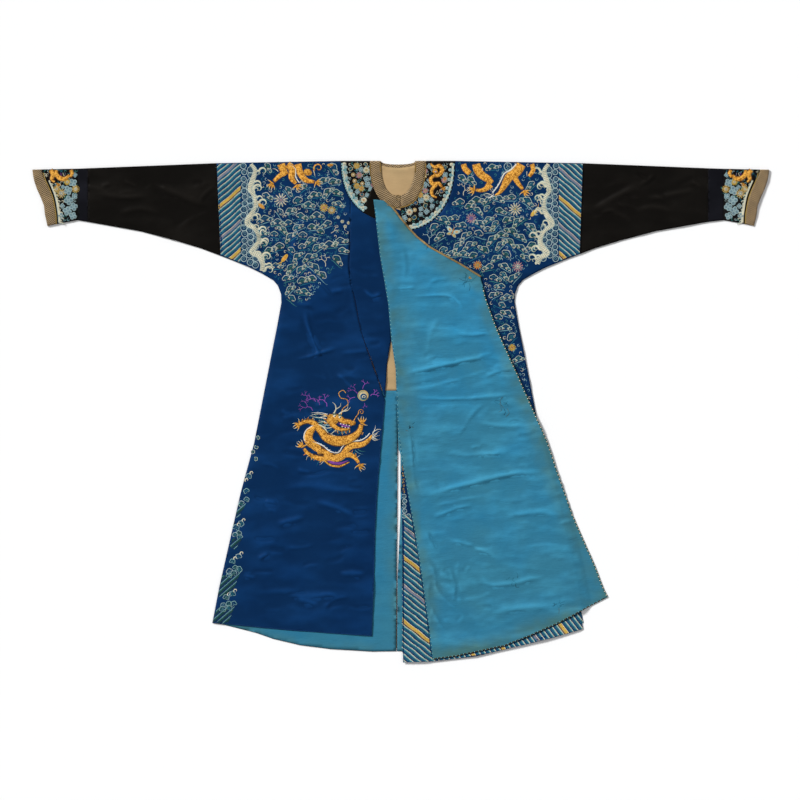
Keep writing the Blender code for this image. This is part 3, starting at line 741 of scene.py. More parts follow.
def rubbed_edges(cloth, reach, most):
    """Marks how rubbed the cloth is, from `most` at its edges to nothing `reach` mm in."""
    mesh = cloth.data
    rim = [mesh.vertices[v].co for p in mesh.polygons if abs(p.normal.z) < 0.5 for v in p.vertices]
    near = KDTree(len(rim))
    for i, place in enumerate(rim):
        near.insert(place, i)
    near.balance()
    rubbed = []
    for vert in mesh.vertices:
        inward = near.find(vert.co)[2] / MM
        patchy = 0.75 + 0.9 * noise.noise(vert.co * 14.0) + 0.5 * noise.noise(vert.co * 47.0)
        share = most * patchy * (1.0 - soft(inward, 0.0, reach * (1 + noise.noise(vert.co * 6.0))))
        rubbed += [min(1.0, max(0.0, float(share)))] * 3 + [1.0]
    colours = mesh.color_attributes.new(name="rubbed", type="FLOAT_COLOR", domain="POINT")
    colours.data.foreach_set("color", rubbed)


for side in ("right", "left"):
    lower_lining = laid_cloth(
        f"back_lining_turquoise_{side}", f"lining_back_{side}", turquoise_silk, lining_slack,
        9.0, 30.0
    )
    rubbed_edges(lower_lining, 34.0, 0.45)

# ---- The front overlap, turned back --------------------------------------------------------------
# Blue satin sewn to the left front at the centre and closed at the right side when worn. It is
# lined with turquoise tabby, and lies turned back over the left front, so its lining is what
# shows.

FLAP_FOLDS = (
    (8, 1.3, ((-3, 364), (20, 362), (54, 358))),
    (8, 1.9, ((37, 386), (111, 381), (151, 386), (179, 409), (187, 426))),
    (9, 1.4, ((162, 489), (213, 494), (264, 483))),
    (11, 2.2, ((9, 605), (108, 585), (224, 560), (280, 560))),
    (9, -1.8, ((18, 642), (125, 622), (258, 582), (290, 577))),
    (11, 1.8, ((18, 670), (162, 676), (275, 667), (346, 667))),
    (9, -1.6, ((18, 689), (142, 684), (250, 676))),
    (10, -1.0, ((275, 676), (224, 719), (196, 764), (156, 809))),
    (7, -1.2, ((37, 755), (45, 809), (54, 914), (68, 951))),
    (12, 2.2, ((71, 954), (131, 934), (213, 914), (321, 889), (415, 880))),
    (10, -1.8, ((77, 974), (204, 946), (275, 937))),
    (10, 1.6, ((91, 1014), (170, 985), (224, 974))),
    (11, 1.9, ((133, 1079), (187, 1085), (233, 1102), (295, 1133))),
    (13, 1.8, ((227, 1173), (275, 1204), (417, 1181))),
    (11, -1.6, ((142, 1233), (224, 1227), (275, 1204))),
    (8, -1.1, ((85, 1048), (116, 1107))),
    (9, -1.4, ((80, 1119), (111, 1164), (121, 1218), (170, 1264), (213, 1303))),
    (9, -1.6, ((100, 1180), (96, 1240), (120, 1300), (150, 1340))),
    (8, -0.9, ((150, 1150), (170, 1210), (160, 1270))),
    (9, -0.6, ((20, 240), (30, 300), (24, 340))),
    (14, 0.6, ((120, 430), (90, 500), (84, 560))),
    (15, 1.5, ((220, 740), (300, 752), (380, 744))),
    (16, 1.5, ((130, 830), (220, 836), (330, 822))),
    (15, 1.4, ((300, 1010), (400, 996), (470, 1008))),
    (14, -1.3, ((330, 1090), (420, 1076), (510, 1090))),
    (15, 1.4, ((250, 1290), (340, 1270), (450, 1262))),
)
FLAP_SWELLS = ((130, 46, 3.2), (38, 14, 1.5), (15, 9, 0.4))
FLAP_STARTS = 1.0
FLAP_IS_FULL = 5.5
SILK_SHARE = 0.78
FLAP_CREASES = small_creases(5, ((70, 420), (300, 1300)), 46, 0.12, 1.3, side_limit=0.46)
FLAP_CREASES += small_creases(6, ((90, 190), (1130, 1340)), 11, 0.9, 0.8)


def flap_slack(places, levels):
    """Folds of the turned overlap: its silk and its lining rise together."""
    height = folded(places, FLAP_FOLDS + FLAP_CREASES, 23.0, FLAP_SWELLS, RESTS_ABOVE)
    return height * soft(levels, FLAP_STARTS, FLAP_IS_FULL)


def silk_slack(places, levels):
    """The overlap's silk lies a little lower than its lining in the same folds."""
    return SILK_SHARE * flap_slack(places, levels)


overlap_cloth = laid_cloth("overlap_satin", "overlap_silk", blue_satin, silk_slack, 7.0, 20.0)
flap_lining = laid_cloth(
    "overlap_lining_turquoise", "overlap_lining", turquoise_silk, flap_slack, 4.2, 16.0
)
rubbed_edges(flap_lining, 62.0, 0.62)

edging_silk = silk_finish(
    "edging_brocade_silk", ((0.20, 0.12, 0.035), (0.42, 0.28, 0.10)), patches=160.0, rough=0.5
)
curved_edging = laid_cloth(
    "overlap_curved_edging", "overlap_edging", edging_silk, flap_slack, 4.0, 8.0
)

# ---- The sleeves ---------------------------------------------------------------------------------
# Plain brown-black silk satin tubes, sewn to the blue silk above the elbow. A narrow strip of
# blue-black satin joins each one to its cuff.

black_satin = silk_finish(
    "black_satin",
    ((0.0052, 0.0044, 0.0036), (0.0092, 0.0080, 0.0068)),
    patches=7.0,
    rough=0.5,
    gloss=0.03,
    sheen=0.008,
    depth=0.0016,
)
strip_satin = silk_finish(
    "navy_black_satin", ((0.0055, 0.0058, 0.0085), (0.0098, 0.0100, 0.0140)), rough=0.5, gloss=0.03
)
for side, strip_width in (("right", 0.029), ("left", 0.045)):
    sleeve = laid_cloth(f"sleeve_{side}_satin", f"sleeve_{side}", black_satin, front_slack)
    strip = laid_cloth(
        f"sleeve_strip_{side}_satin", f"sleeve_strip_{side}", strip_satin, front_slack
    )

# ---- The horse-hoof cuffs ------------------------------------------------------------------------
# Embroidered black satin, cut to flare over the back of the hand, and edged with gold brocade.

cuff_satin = silk_finish(
    "cuff_black_satin", ((0.0050, 0.0048, 0.0055), (0.0095, 0.0090, 0.0095)), rough=0.5, gloss=0.03
)
gold_brocade, br_tree, br_shader = finish("gold_brocade", 0.5, gloss=0.12, sheen=0.02)
br_place = node(br_tree, "TexCoord").outputs["Object"]
br_across, br_along, _ = node(br_tree, "SeparateXYZ", {0: br_place}).outputs
br_zigzag = maths(br_tree, "PINGPONG", maths(br_tree, "MULTIPLY", br_across, 170.0), 1.0)
br_rows = maths(br_tree, "ADD", maths(br_tree, "MULTIPLY", br_along, 165.0), br_zigzag)
br_keys = maths(br_tree, "PINGPONG", br_rows, 0.5)
br_key_share = node(
    br_tree, "MapRange", {"Value": br_keys, "From Min": 0.14, "From Max": 0.30}
).outputs[0]
br_colour = blend(br_tree, br_key_share, (0.030, 0.019, 0.009), (0.37, 0.265, 0.150))
br_worn = placed(br_tree, fading, Patches=60.0, Contrast=2.0)
br_shade = blend(br_tree, br_worn.outputs["Faded"], (0.72, 0.72, 0.72), (1.25, 1.2, 1.1))
br_tree.links.new(
    blend(br_tree, 1.0, br_colour, br_shade, "MULTIPLY"), br_shader.inputs["Base Color"]
)
bumped(br_tree, br_shader, br_key_share, 0.0004)

for side in ("right", "left"):
    cuff = laid_cloth(f"cuff_{side}_satin", f"cuff_{side}", cuff_satin, front_slack, 5.0, 12.0)
    cuff_edge = laid_cloth(
        f"cuff_edge_{side}_brocade", f"cuff_edge_{side}", gold_brocade, front_slack, 4.0, 8.0
    )

# ---- The collar and the neckband -----------------------------------------------------------------
# A shaped collar of embroidered black satin, set into the silk, and a round neckband of gold
# brocade, buttoned by a cord loop. A small black patch shows where the collar runs onto the
# underlap.

collar_cloth = laid_cloth("collar_satin", "collar", cuff_satin, front_slack, 5.0, 12.0)
neckband_cloth = laid_cloth("neckband_brocade", "neckband", gold_brocade, front_slack, 4.0, 8.0)
patch_cloth = laid_cloth(
    "underlap_patch_satin", "underlap_patch", black_satin, front_slack, 5.0, 12.0
)

LOOP_CORD = 2.0
LOOP_RADIUS = 6.6
LOOP_SIDES = 8
LOOP_STEPS = 40
loop_low, loop_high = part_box("neck_loop")
loop_middle = (loop_low + loop_high) / 2
loop_form = bmesh.new()
rings = []
for i in range(LOOP_STEPS):
    turn = tau * i / LOOP_STEPS
    heading = Vector((cos(turn), sin(turn), 0.0))
    plait = 1.0 + 0.12 * cos(10 * turn)
    rings.append(
        [
            loop_form.verts.new(
                loop_middle
                + heading * MM * (LOOP_RADIUS + 0.5 * LOOP_CORD * plait * cos(tau * k / LOOP_SIDES))
                + Vector((0.0, 0.0, 0.5 * LOOP_CORD * MM * plait * sin(tau * k / LOOP_SIDES)))
            )
            for k in range(LOOP_SIDES)
        ]
    )
for i in range(LOOP_STEPS):
    here, there = rings[i], rings[(i + 1) % LOOP_STEPS]
    for k in range(LOOP_SIDES):
        after = (k + 1) % LOOP_SIDES
        loop_form.faces.new((here[k], there[k], there[after], here[after]))
bmesh.ops.recalc_face_normals(loop_form, faces=loop_form.faces)
loop_mesh = bpy.data.meshes.new("neck_loop_cord")
loop_form.to_mesh(loop_mesh)
loop_form.free()
loop_mesh.polygons.foreach_set("use_smooth", [True] * len(loop_mesh.polygons))
loop_mesh.materials.append(edging_silk)
neck_loop = put("neck_loop_cord", loop_mesh)
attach(neck_loop, "root")
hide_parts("neck_loop")

# ---- Waves worked at the sleeve seams ------------------------------------------------------------
# Floss-silk embroidery, worked through the satin before the robe was sewn: slanting bands of
# standing water, a column of ringed spray, and a crest of foam, where each half ends at its
# sleeve.

NAVY = (0.006, 0.032, 0.095)
BLUE = (0.012, 0.085, 0.200)
TEAL = (0.018, 0.150, 0.215)
GREEN = (0.050, 0.215, 0.190)
PALE = (0.190, 0.390, 0.410)
ICE = (0.380, 0.510, 0.500)
CREAM = (0.700, 0.650, 0.470)
STRAW = (0.560, 0.360, 0.090)
YELLOW = (0.620, 0.400, 0.060)
ORANGE = (0.660, 0.255, 0.035)
GOLD = (0.800, 0.400, 0.068)
PINK = (0.450, 0.230, 0.240)
VIOLET = (0.230, 0.060, 0.330)
DOVE = (0.210, 0.205, 0.270)
BROWN = (0.120, 0.060, 0.030)
BLACK = (0.008, 0.008, 0.010)
WHITE = (0.800, 0.780, 0.700)
BURIED = 0.12
OFF_FLAP = 1.6
STITCH_LEVEL = 0.0046


def shaded(colour, by):
    """The same thread a little lighter or darker."""
    return tuple(min(1.0, part * by) for part in colour)


def new_work(*cloths):
    """An empty piece of needlework, and the cloths that it is worked on."""
    trees = [BVHTree.FromPolygons(*shape_of(cloth)) for cloth in cloths]
    return {"grounds": trees, "points": [], "colours": [], "faces": [], "threads": []}


def shape_of(cloth):
    """The points and faces of a piece of cloth."""
    mesh = cloth.data
    return [v.co.copy() for v in mesh.vertices], [list(p.vertices) for p in mesh.polygons]


def ground_at(work, out, down):
    """The height of the cloth under a stitch, in metres, or None off the cloth."""
    reach = work.get("reach", 0.0)
    spots = ((0, 0), (reach, 0), (-reach, 0), (0, reach), (0, -reach)) if reach else ((0, 0),)
    levels = []
    for across, along in spots:
        x, y = at(out + across, down + along)
        for tree in work["grounds"]:
            hit = tree.ray_cast((x, y, 1.0), (0.0, 0.0, -1.0))[0]
            if hit is not None:
                levels.append(hit.z)
                break
    return max(levels, default=None)


def stitch_point(work, out, down, high, colour, thread):
    """One corner of the needlework, `high` mm over the cloth."""
    level = ground_at(work, out, down)
    if level is None:
        level = work.get("level", STITCH_LEVEL)
    work["level"] = level
    work["points"].append((*at(out, down), level + high * MM))
    work["colours"].append((*colour, 1.0))
    work["threads"].append(thread)
    return len(work["points"]) - 1


def ribbon(work, line, width, colours, rise=0.5, across=3, step=4.0, lie=0.0):
    """A band of stitches along a line. Widths may vary along it, and colours across it."""
    line = rounded(line, step) if step else [Vector(p) for p in line]
    last = len(line) - 1
    widths = (width, width) if isinstance(width, (int, float)) else tuple(width)
    colours = (colours,) * across if isinstance(colours[0], float) else tuple(colours)
    across = max(across, len(colours))
    rows, run = [], 0.0
    for i, here in enumerate(line):
        ahead = line[min(i + 1, last)] - line[max(i - 1, 0)]
        if ahead.length < 1e-6:
            ahead = Vector((1.0, 0.0))
        beside = square_to(ahead).normalized()
        place = i / last * (len(widths) - 1)
        first = min(int(place), len(widths) - 2)
        wide = widths[first] + (widths[first + 1] - widths[first]) * (place - first)
        run += (here - line[i - 1]).length if i else 0.0
        row = []
        for k in range(across):
            side = 2 * k / (across - 1) - 1
            spot = here + beside * side * wide / 2
            high = lie + rise * (1 - side * side) - BURIED * side * side
            colour = colours[round(k * (len(colours) - 1) / (across - 1))]
            row.append(stitch_point(work, spot.x, spot.y, high, colour, (side * wide / 2, run)))
        rows.append(row)
    for here, there in zip(rows, rows[1:]):
        for k in range(across - 1):
            work["faces"].append((here[k], here[k + 1], there[k + 1], there[k]))


def blob(
    work, centre, size, colour, edge=None, turn=0.0, rise=0.5, lie=0.0, sides=9, lobes=0, deep=0.2
):
    """A filled round or lobed shape. `size` is (long, broad) across."""
    edge = edge or colour
    middle = stitch_point(work, *centre, lie + rise, colour, (0.0, 0.0))
    rings = []
    for share, high in ((0.6, lie + rise * 0.8), (1.0, lie - BURIED)):
        ring = []
        for i in range(sides):
            angle = tau * i / sides
            reach = share * (1 + deep * cos(lobes * angle) if lobes else 1)
            along, beside = reach * size[0] / 2 * cos(angle), reach * size[1] / 2 * sin(angle)
            out = centre[0] + along * cos(turn) - beside * sin(turn)
            down = centre[1] + along * sin(turn) + beside * cos(turn)
            tint = edge if share == 1.0 else tuple((a + b) / 2 for a, b in zip(colour, edge))
            ring.append(stitch_point(work, out, down, high, tint, (along, beside)))
        rings.append(ring)
    for i in range(sides):
        after = (i + 1) % sides
        work["faces"].append((middle, rings[0][i], rings[0][after]))
        work["faces"].append((rings[0][i], rings[1][i], rings[1][after], rings[0][after]))


def spiral(centre, radius, start, turns, hand=1, inner=0.2, steps=None):
    """The points of a curl that winds inwards."""
    steps = steps or max(6, int(9 * turns))
    points = []
    for i in range(steps + 1):
        share = i / steps
        angle = start + hand * tau * turns * share
        reach = radius * (1 - (1 - inner) * share)
        points.append((centre[0] + reach * cos(angle), centre[1] + reach * sin(angle)))
    return points


def rings_of_spray(work, centre, radius):
    """A ringed drop of spray: a blue ground, an outer ring and a curl inside it."""
    blob(work, centre, (2.1 * radius, 2.1 * radius), NAVY, NAVY, rise=0.2, sides=10)
    ribbon(
        work, spiral(centre, radius * 0.92, 0.4, 1.0, inner=1.0, steps=11), 1.9, ICE, 0.35,
        lie=0.15, step=0
    )
    ribbon(
        work, spiral(centre, radius * 0.56, radius, 1.15, inner=0.2, steps=9), 1.7, PALE, 0.3,
        lie=0.1, step=0
    )


def inside_zone(zone, out, down):
    """Whether a place lies inside a closed outline."""
    crossings = 0
    for (out_a, down_a), (out_b, down_b) in zip(zone, zone[1:] + zone[:1]):
        if (down_a > down) != (down_b > down):
            crossings += out < out_a + (down - down_a) * (out_b - out_a) / (down_b - down_a)
    return crossings % 2 == 1


def off_flap(out, down):
    """Whether a place is clear of the turned overlap."""
    return flap_tree.find_nearest((*at(out, down), STITCH_LEVEL))[3] > OFF_FLAP * MM


def workable(work, zone, out, down):
    """Whether a place is in the zone, on the cloth, and clear of the turned overlap."""
    if not inside_zone(zone, out, down) or ground_at(work, out, down) is None:
        return False
    return off_flap(out, down)


BAND_EDGES = (0.0, 0.12, 0.28, 0.44, 0.60, 0.76, 0.88, 1.0)
BAND_READING = 2.5
BAND_WAVE = 9.0
BAND_STITCH = 9.0
SEA_BANDS = (CREAM, PALE, TEAL, shaded(TEAL, 0.7), BLUE, shaded(BLUE, 0.6), NAVY, NAVY)


def standing_water(work, zone, slope, pitch, odd=(), sway=0.0, plain=SEA_BANDS):
    """Slanting bands of water across a zone. `odd` has other colours for bands at some spots."""
    lean = toward(slope)
    beside = square_to(lean)
    corners = [Vector(p) for p in zone]
    reach = [c.dot(lean) for c in corners]
    spread = [c.dot(beside) for c in corners]
    first = floor(min(spread) / pitch)
    odd_at = {floor(Vector(spot).dot(beside) / pitch): tints for spot, tints in odd}
    for number in range(first, ceil(max(spread) / pitch) + 1):
        colours = odd_at.get(number, plain)
        lines = []
        for share in BAND_EDGES:
            base = (number + share) * pitch
            run = []
            steps = int((max(reach) - min(reach)) / BAND_READING)
            for i in range(steps + 1):
                along = min(reach) + BAND_READING * i
                wave = sway * sin(along / BAND_WAVE + number)
                spot = lean * along + beside * (base + wave)
                if workable(work, zone, spot.x, spot.y):
                    run.append(spot)
            lines.append(run)
        for k in range(len(BAND_EDGES) - 1):
            here, there = lines[k], lines[k + 1]
            if len(here) < 2 or len(there) < 2:
                continue
            longest = max((here[-1] - here[0]).length, (there[-1] - there[0]).length)
            spans = max(2, int(longest / BAND_STITCH))
            high = (0.55, 0.22)[0 < k < len(BAND_EDGES) - 2]
            rows = []
            for run, side in ((here, 0), (there, 1)):
                row = []
                for i in range(spans + 1):
                    spot = run[round(i * (len(run) - 1) / spans)]
                    thread = (side * pitch / 7, i * BAND_STITCH)
                    row.append(stitch_point(work, spot.x, spot.y, high, colours[k], thread))
                rows.append(row)
            for i in range(spans):
                work["faces"].append((rows[0][i], rows[0][i + 1], rows[1][i + 1], rows[1][i]))


FOAM_RIB_GAP = 4.5
FOAM_RIB = 5.0


def foam(work, line, width, hooks, way):
    """A crest of foam: a pale ribbed band, with curled claws of spray thrown off one side."""
    ribbon(work, line, width, (PALE, CREAM, CREAM, ICE), 0.7, across=5)
    ridge = rounded(line, FOAM_RIB_GAP)
    for i in range(1, len(ridge) - 1):
        run = (ridge[i + 1] - ridge[i - 1]).normalized()
        beside = square_to(run) * FOAM_RIB
        ribbon(work, [ridge[i] - beside, ridge[i] + beside], 1.2, TEAL, 0.25, lie=0.66, step=0)
    for out, down, size, turn in hooks:
        start = Vector((out, down))
        heading = toward(turn)
        curl = spiral(
            start + heading * size * 0.55, size * 0.42, turn + pi, 0.85, way, 0.3, steps=9
        )
        thick = 0.26 * size
        root = start - heading * 2
        ribbon(
            work, [root, *curl], (thick + 2, thick + 1.6, thick + 1, 2.4), shaded(TEAL, 0.6), 0.4,
            step=3.0
        )
        ribbon(
            work, [root, *curl], (thick, thick, 0.8 * thick, 0.5 * thick, 0.8),
            (CREAM, CREAM, PALE), 0.8, step=3.0
        )


def stitched(name, work, material):
    """Makes the needlework a piece that lies on its cloth."""
    mesh = bpy.data.meshes.new(name)
    mesh.from_pydata(work["points"], [], work["faces"])
    colours = mesh.color_attributes.new(name="thread", type="FLOAT_COLOR", domain="POINT")
    colours.data.foreach_set("color", np.array(work["colours"], float).ravel())
    lay = mesh.uv_layers.new(name="lay")
    corners = np.empty(len(mesh.loops), int)
    mesh.loops.foreach_get("vertex_index", corners)
    lay.data.foreach_set("uv", (np.array(work["threads"], float)[corners] * 0.1).ravel())
    form = bmesh.new()
    form.from_mesh(mesh)
    form.normal_update()
    bmesh.ops.reverse_faces(form, faces=[f for f in form.faces if f.normal.z < 0])
    form.to_mesh(mesh)
    form.free()
    mesh.polygons.foreach_set("use_smooth", [True] * len(mesh.polygons))
    mesh.materials.append(material)
    piece = put(name, mesh)
    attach(piece, "root")
    return piece


def thread_finish(name, rough, sheen, scales=0.0):
    """Embroidery thread in its own colours, laid in close stitches, or couched in scales."""
    material, tree, shader = finish(name, rough, gloss=0.06, sheen=sheen)
    colour = node(tree, "VertexColor", layer_name="thread").outputs["Color"]
    lay = node(tree, "UVMap", uv_map="lay").outputs["UV"]
    threads = node(
        tree, "TexWave", {"Vector": lay, "Scale": 3.2, "Distortion": 0.6}, bands_direction="Y"
    )
    worn = placed(tree, fading, Patches=70.0, Contrast=2.0)
    uneven = blend(tree, worn.outputs["Faded"], (0.80, 0.80, 0.80), (1.12, 1.12, 1.12))
    tone = blend(tree, 1.0, colour, uneven, "MULTIPLY")
    height = threads.outputs["Fac"]
    if scales:
        cells = node(tree, "TexVoronoi", {"Vector": lay, "Scale": scales, "Randomness": 0.55})
        rim = node(
            tree, "MapRange",
            {"Value": cells.outputs["Distance"], "From Min": 0.45, "From Max": 0.68}
        )
        tone = blend(
            tree, rim.outputs[0], tone, blend(tree, 1.0, tone, (0.42, 0.30, 0.16), "MULTIPLY")
        )
        height = maths(tree, "SUBTRACT", 1.0, rim.outputs[0])
    tree.links.new(tone, shader.inputs["Base Color"])
    bumped(tree, shader, height, 0.0003)
    return material


floss_silk = thread_finish("floss_silk", 0.5, 0.04)
YELLOW_BAND = (CREAM, YELLOW, YELLOW, STRAW, STRAW, BROWN, NAVY, NAVY)
PINK_BAND = (CREAM, DOVE, DOVE, DOVE, TEAL, BLUE, NAVY, NAVY)
BAND_PITCH = 12.0
BAND_SLOPE = radians(41)
SLEEVE_ZONES = {
    "right": ((-515.0, 7.5), (-446.0, 6.5), (-446.0, 290.0), (-491.0, 272.0), (-505.0, 266.0)),
    "left": ((525.0, 7.5), (456.0, 6.5), (456.0, 286.0), (491.0, 271.0), (516.5, 263.0)),
}
FOAM_LINES = {
    "right": (
        (-417, 9), (-406, 28), (-414, 57), (-420, 80), (-408, 102), (-406, 131), (-417, 151),
        (-428, 176), (-406, 193), (-395, 222), (-406, 245), (-415, 258), (-395, 270), (-384, 293),
        (-386, 312)
    ),
    "left": (
        (427, 9), (416, 30), (423, 58), (430, 84), (417, 108), (415, 136), (426, 158), (438, 180),
        (415, 200), (404, 228), (414, 250), (424, 262), (404, 276), (396, 292)
    ),
}
RING_RADIUS = 9.4
RING_GAP = 17.5
RING_COLUMNS = (9.0, 26.0, 42.0)
RING_TOP = 16.0
RING_STAGGER = 7.5
RING_BOTTOM = 300.0
CLAW_SIZES = (31.0, 19.0, 25.0)
CLAW_LEANS = (0.1, -0.8, 0.7)
for side, cloth, way, seam, odd in (
    (
        "right",
        right_cloth,
        1,
        -446.0,
        (
            ((-480, 115), YELLOW_BAND), ((-460, 267), YELLOW_BAND), ((-487, 40), PINK_BAND),
            ((-474, 190), PINK_BAND)
        ),
    ),
    (
        "left",
        left_cloth,
        -1,
        456.0,
        (
            ((491, 126), YELLOW_BAND), ((462, 272), YELLOW_BAND), ((488, 43), PINK_BAND),
            ((480, 207), PINK_BAND)
        ),
    ),
):
    waves = new_work(cloth)
    standing_water(waves, SLEEVE_ZONES[side], -way * BAND_SLOPE, BAND_PITCH, odd, sway=0.8)
    chance = random.Random(31)
    for column, shift in enumerate(RING_COLUMNS):
        down = RING_TOP + RING_STAGGER * (column % 2)
        while down < RING_BOTTOM:
            spot = (seam + way * (shift + chance.uniform(-2, 2)), down + chance.uniform(-2, 2))
            crest = min(FOAM_LINES[side], key=lambda p: abs(p[1] - spot[1]))
            behind = abs(spot[0]) > abs(crest[0]) - 4
            under = [ground_at(waves, spot[0] + d, spot[1] + RING_RADIUS) for d in (-8, 8)]
            if behind and None not in under:
                rings_of_spray(waves, spot, RING_RADIUS * chance.uniform(0.85, 1.1))
            down += RING_GAP
    hooks = []
    for number, p in enumerate(rounded(FOAM_LINES[side], 16.0)[1:]):
        if ground_at(waves, p.x + way * 18, p.y + 14) is None:
            continue
        lean = CLAW_LEANS[number % 3] + chance.uniform(-0.3, 0.3)
        size = CLAW_SIZES[number % 3] * chance.uniform(0.85, 1.1)
        hooks.append(
            (p.x + way * chance.uniform(4.0, 9.0), p.y, size, lean if way > 0 else pi - lean)
        )
    foam(waves, FOAM_LINES[side], (12.0, 19.0, 12.0, 20.0, 13.0, 21.0, 14.0), hooks, way)
    stitched(f"sleeve_waves_{side}", waves, floss_silk)

# ---- Clouds, flowers and creatures on the body ---------------------------------------------------
# Small scalloped clouds scattered over the chest in blue-green and cream floss, with flowers,
# coral, a butterfly and fish among them, worked by eye so that no two are alike.


def petal_fan(work, centre, radius, turn, spread, count, inner, outer, rise=0.45):
    """A fan of narrow petals: pale outer ends round a darker middle."""
    for i in range(count):
        angle = turn + spread * (i / max(1, count - 1) - 0.5)
        heading = toward(angle)
        start, end = Vector(centre) + heading * radius * 0.25, Vector(centre) + heading * radius
        wide = min(3.4, radius * spread / count * 0.95)
        blob(work, start.lerp(end, 0.55), (radius * 0.8, wide), inner, outer, angle, rise, sides=7)
        blob(work, end, (wide * 0.95, wide), outer, turn=angle, rise=rise + 0.1, sides=6)


CLOUD_DARKS = (shaded(BLUE, 0.6), shaded(TEAL, 0.6), shaded(GREEN, 0.35))
CLOUD_RIMS = (ICE, PALE, shaded(GREEN, 1.6))


def cloud_head(work, centre, radius, facing, chance, rim=CREAM):
    """One round head of a cloud: a scalloped pale rim, curled in at its foot, round a dark curl."""
    dark = chance.choice(CLOUD_DARKS)
    blob(work, centre, (radius * 2.0, radius * 2.0), dark, NAVY, facing, 0.3, sides=9)
    scallops = []
    for i in range(21):
        share = i / 20
        foot = max(0.0, abs(2 * share - 1) - 0.72) * 1.9
        reach = radius * (0.88 + 0.16 * abs(sin(share * pi * 4)) - foot)
        angle = facing + (share - 0.5) * 5.4
        scallops.append((centre[0] + reach * cos(angle), centre[1] + reach * sin(angle)))
    pale = chance.choice(CLOUD_RIMS)
    ribbon(work, scallops, (1.1, 1.6, 1.7, 1.6, 1.1), (pale, rim, pale), 0.5, lie=0.15, step=0)
    inner = spiral(centre, radius * 0.45, facing + pi * 0.6, 0.8, chance.choice((-1, 1)), steps=6)
    ribbon(work, inner, 1.3, chance.choice((GREEN, PALE, TEAL)), 0.35, lie=0.2, step=0)


def cloud_dome(work, middle, radius, turn, chance):
    """One head of a cloud: a dark dome under a scalloped pale rim, with a scroll at each foot."""
    heading = toward(turn)
    beside = square_to(heading)
    dark = chance.choice(CLOUD_DARKS)
    blob(work, middle, (radius * 2.3, radius * 1.8), dark, NAVY, turn, 0.3, sides=9)
    scallops = []
    for i in range(21):
        angle = (i / 20 - 0.5) * 3.8
        reach = radius * (0.92 + 0.16 * abs(sin(i / 20 * pi * 3)))
        scallops.append(middle + heading * 1.15 * reach * sin(angle) - beside * reach * cos(angle))
    pale = chance.choice(CLOUD_RIMS)
    ribbon(work, scallops, (1.1, 1.7, 1.8, 1.7, 1.1), (pale, CREAM, pale), 0.5, lie=0.15, step=0)
    for way in (-1, 1):
        foot = middle + heading * way * 0.60 * radius + beside * 0.42 * radius
        scroll = spiral(foot, radius * 0.34, turn + pi * (way < 0), 0.8, -way, steps=6)
        ribbon(work, scroll, 1.3, CREAM, 0.4, lie=0.2, step=0)
    arch = []
    for i in range(7):
        angle = (i / 6 - 0.5) * 2.4
        arch.append(
            middle + heading * 0.6 * radius * sin(angle) - beside * 0.45 * radius * cos(angle)
        )
    ribbon(work, arch, 1.4, chance.choice((GREEN, PALE, TEAL)), 0.35, lie=0.2, step=0)


def cloud(work, centre, size, turn, lobes, chance):
    """A small cloud: one large dome, a smaller one at its sides, and a curling tail."""
    heading = toward(turn)
    beside = square_to(heading)
    radius = 0.345 * size
    flow = chance.choice((-1, 1)) * heading
    foot = Vector(centre) + beside * radius
    tail = [
        foot - flow * radius * 1.2, foot, foot + flow * radius * 1.9 + beside * 2,
        foot + flow * radius * 2.8
    ]
    ribbon(work, tail, (1.0, 2.6, 1.8, 0.5), chance.choice((TEAL, PALE, GREEN)), 0.35)
    for along, drop, share in ((0.0, 0.0, 1.0), (1.5, 0.4, 0.66), (-1.4, 0.5, 0.6))[:lobes]:
        middle = Vector(centre) + flow * along * radius + beside * drop * radius
        cloud_dome(work, middle, radius * share * chance.uniform(0.92, 1.08), turn, chance)


def curl(work, spot, size, chance):
    """A small loose curl of silk, between the clouds."""
    line = spiral(
        spot, size * 0.62, chance.uniform(0, tau), chance.uniform(0.6, 1.0), chance.choice((-1, 1)),
        steps=8
    )
    ribbon(
        work, line, (0.5, 1.9, 1.5, 0.6), chance.choice((ICE, PALE, TEAL, GREEN, CREAM)), 0.4,
        step=0
    )


def flower(work, centre, radius, petals, heart, leaf, chance):
    """A many-petalled flower with a bright heart and curling leaves."""
    for i in range(5):
        angle = tau * i / 5 + chance.uniform(-0.3, 0.3)
        root = Vector(centre) + toward(angle) * radius
        ribbon(
            work, spiral(root, radius * 0.45, angle, 0.8, chance.choice((-1, 1)), steps=6),
            (2.2, 1.6, 0.6), leaf, 0.35, step=0
        )
    blob(work, centre, (radius * 1.6, radius * 1.6), TEAL, BLUE, rise=0.3, sides=10)
    petal_fan(work, centre, radius, 0.0, tau * 11 / 12, 12, shaded(petals, 0.7), petals)
    petal_fan(work, centre, radius * 0.6, 0.3, tau * 7 / 8, 8, heart, shaded(petals, 0.9), 0.7)
    blob(work, centre, (radius * 0.4, radius * 0.4), heart, rise=0.9, sides=7)


def coral(work, root, heading, length, colour, chance, depth=3):
    """A branching coral or wisp of flame."""
    start = Vector(root)
    run = toward(heading) * length
    bend = square_to(run) * chance.uniform(-0.3, 0.3)
    end = start + run
    ribbon(
        work, [start, start + run * 0.5 + bend, end], (1.3 + depth * 0.3, 1.0 + depth * 0.25),
        colour, 0.45, step=3.0
    )
    if depth:
        for lean in (-0.75, 0.7):
            coral(
                work, end, heading + lean + chance.uniform(-0.25, 0.25), length * 0.68, colour,
                chance, depth - 1
            )


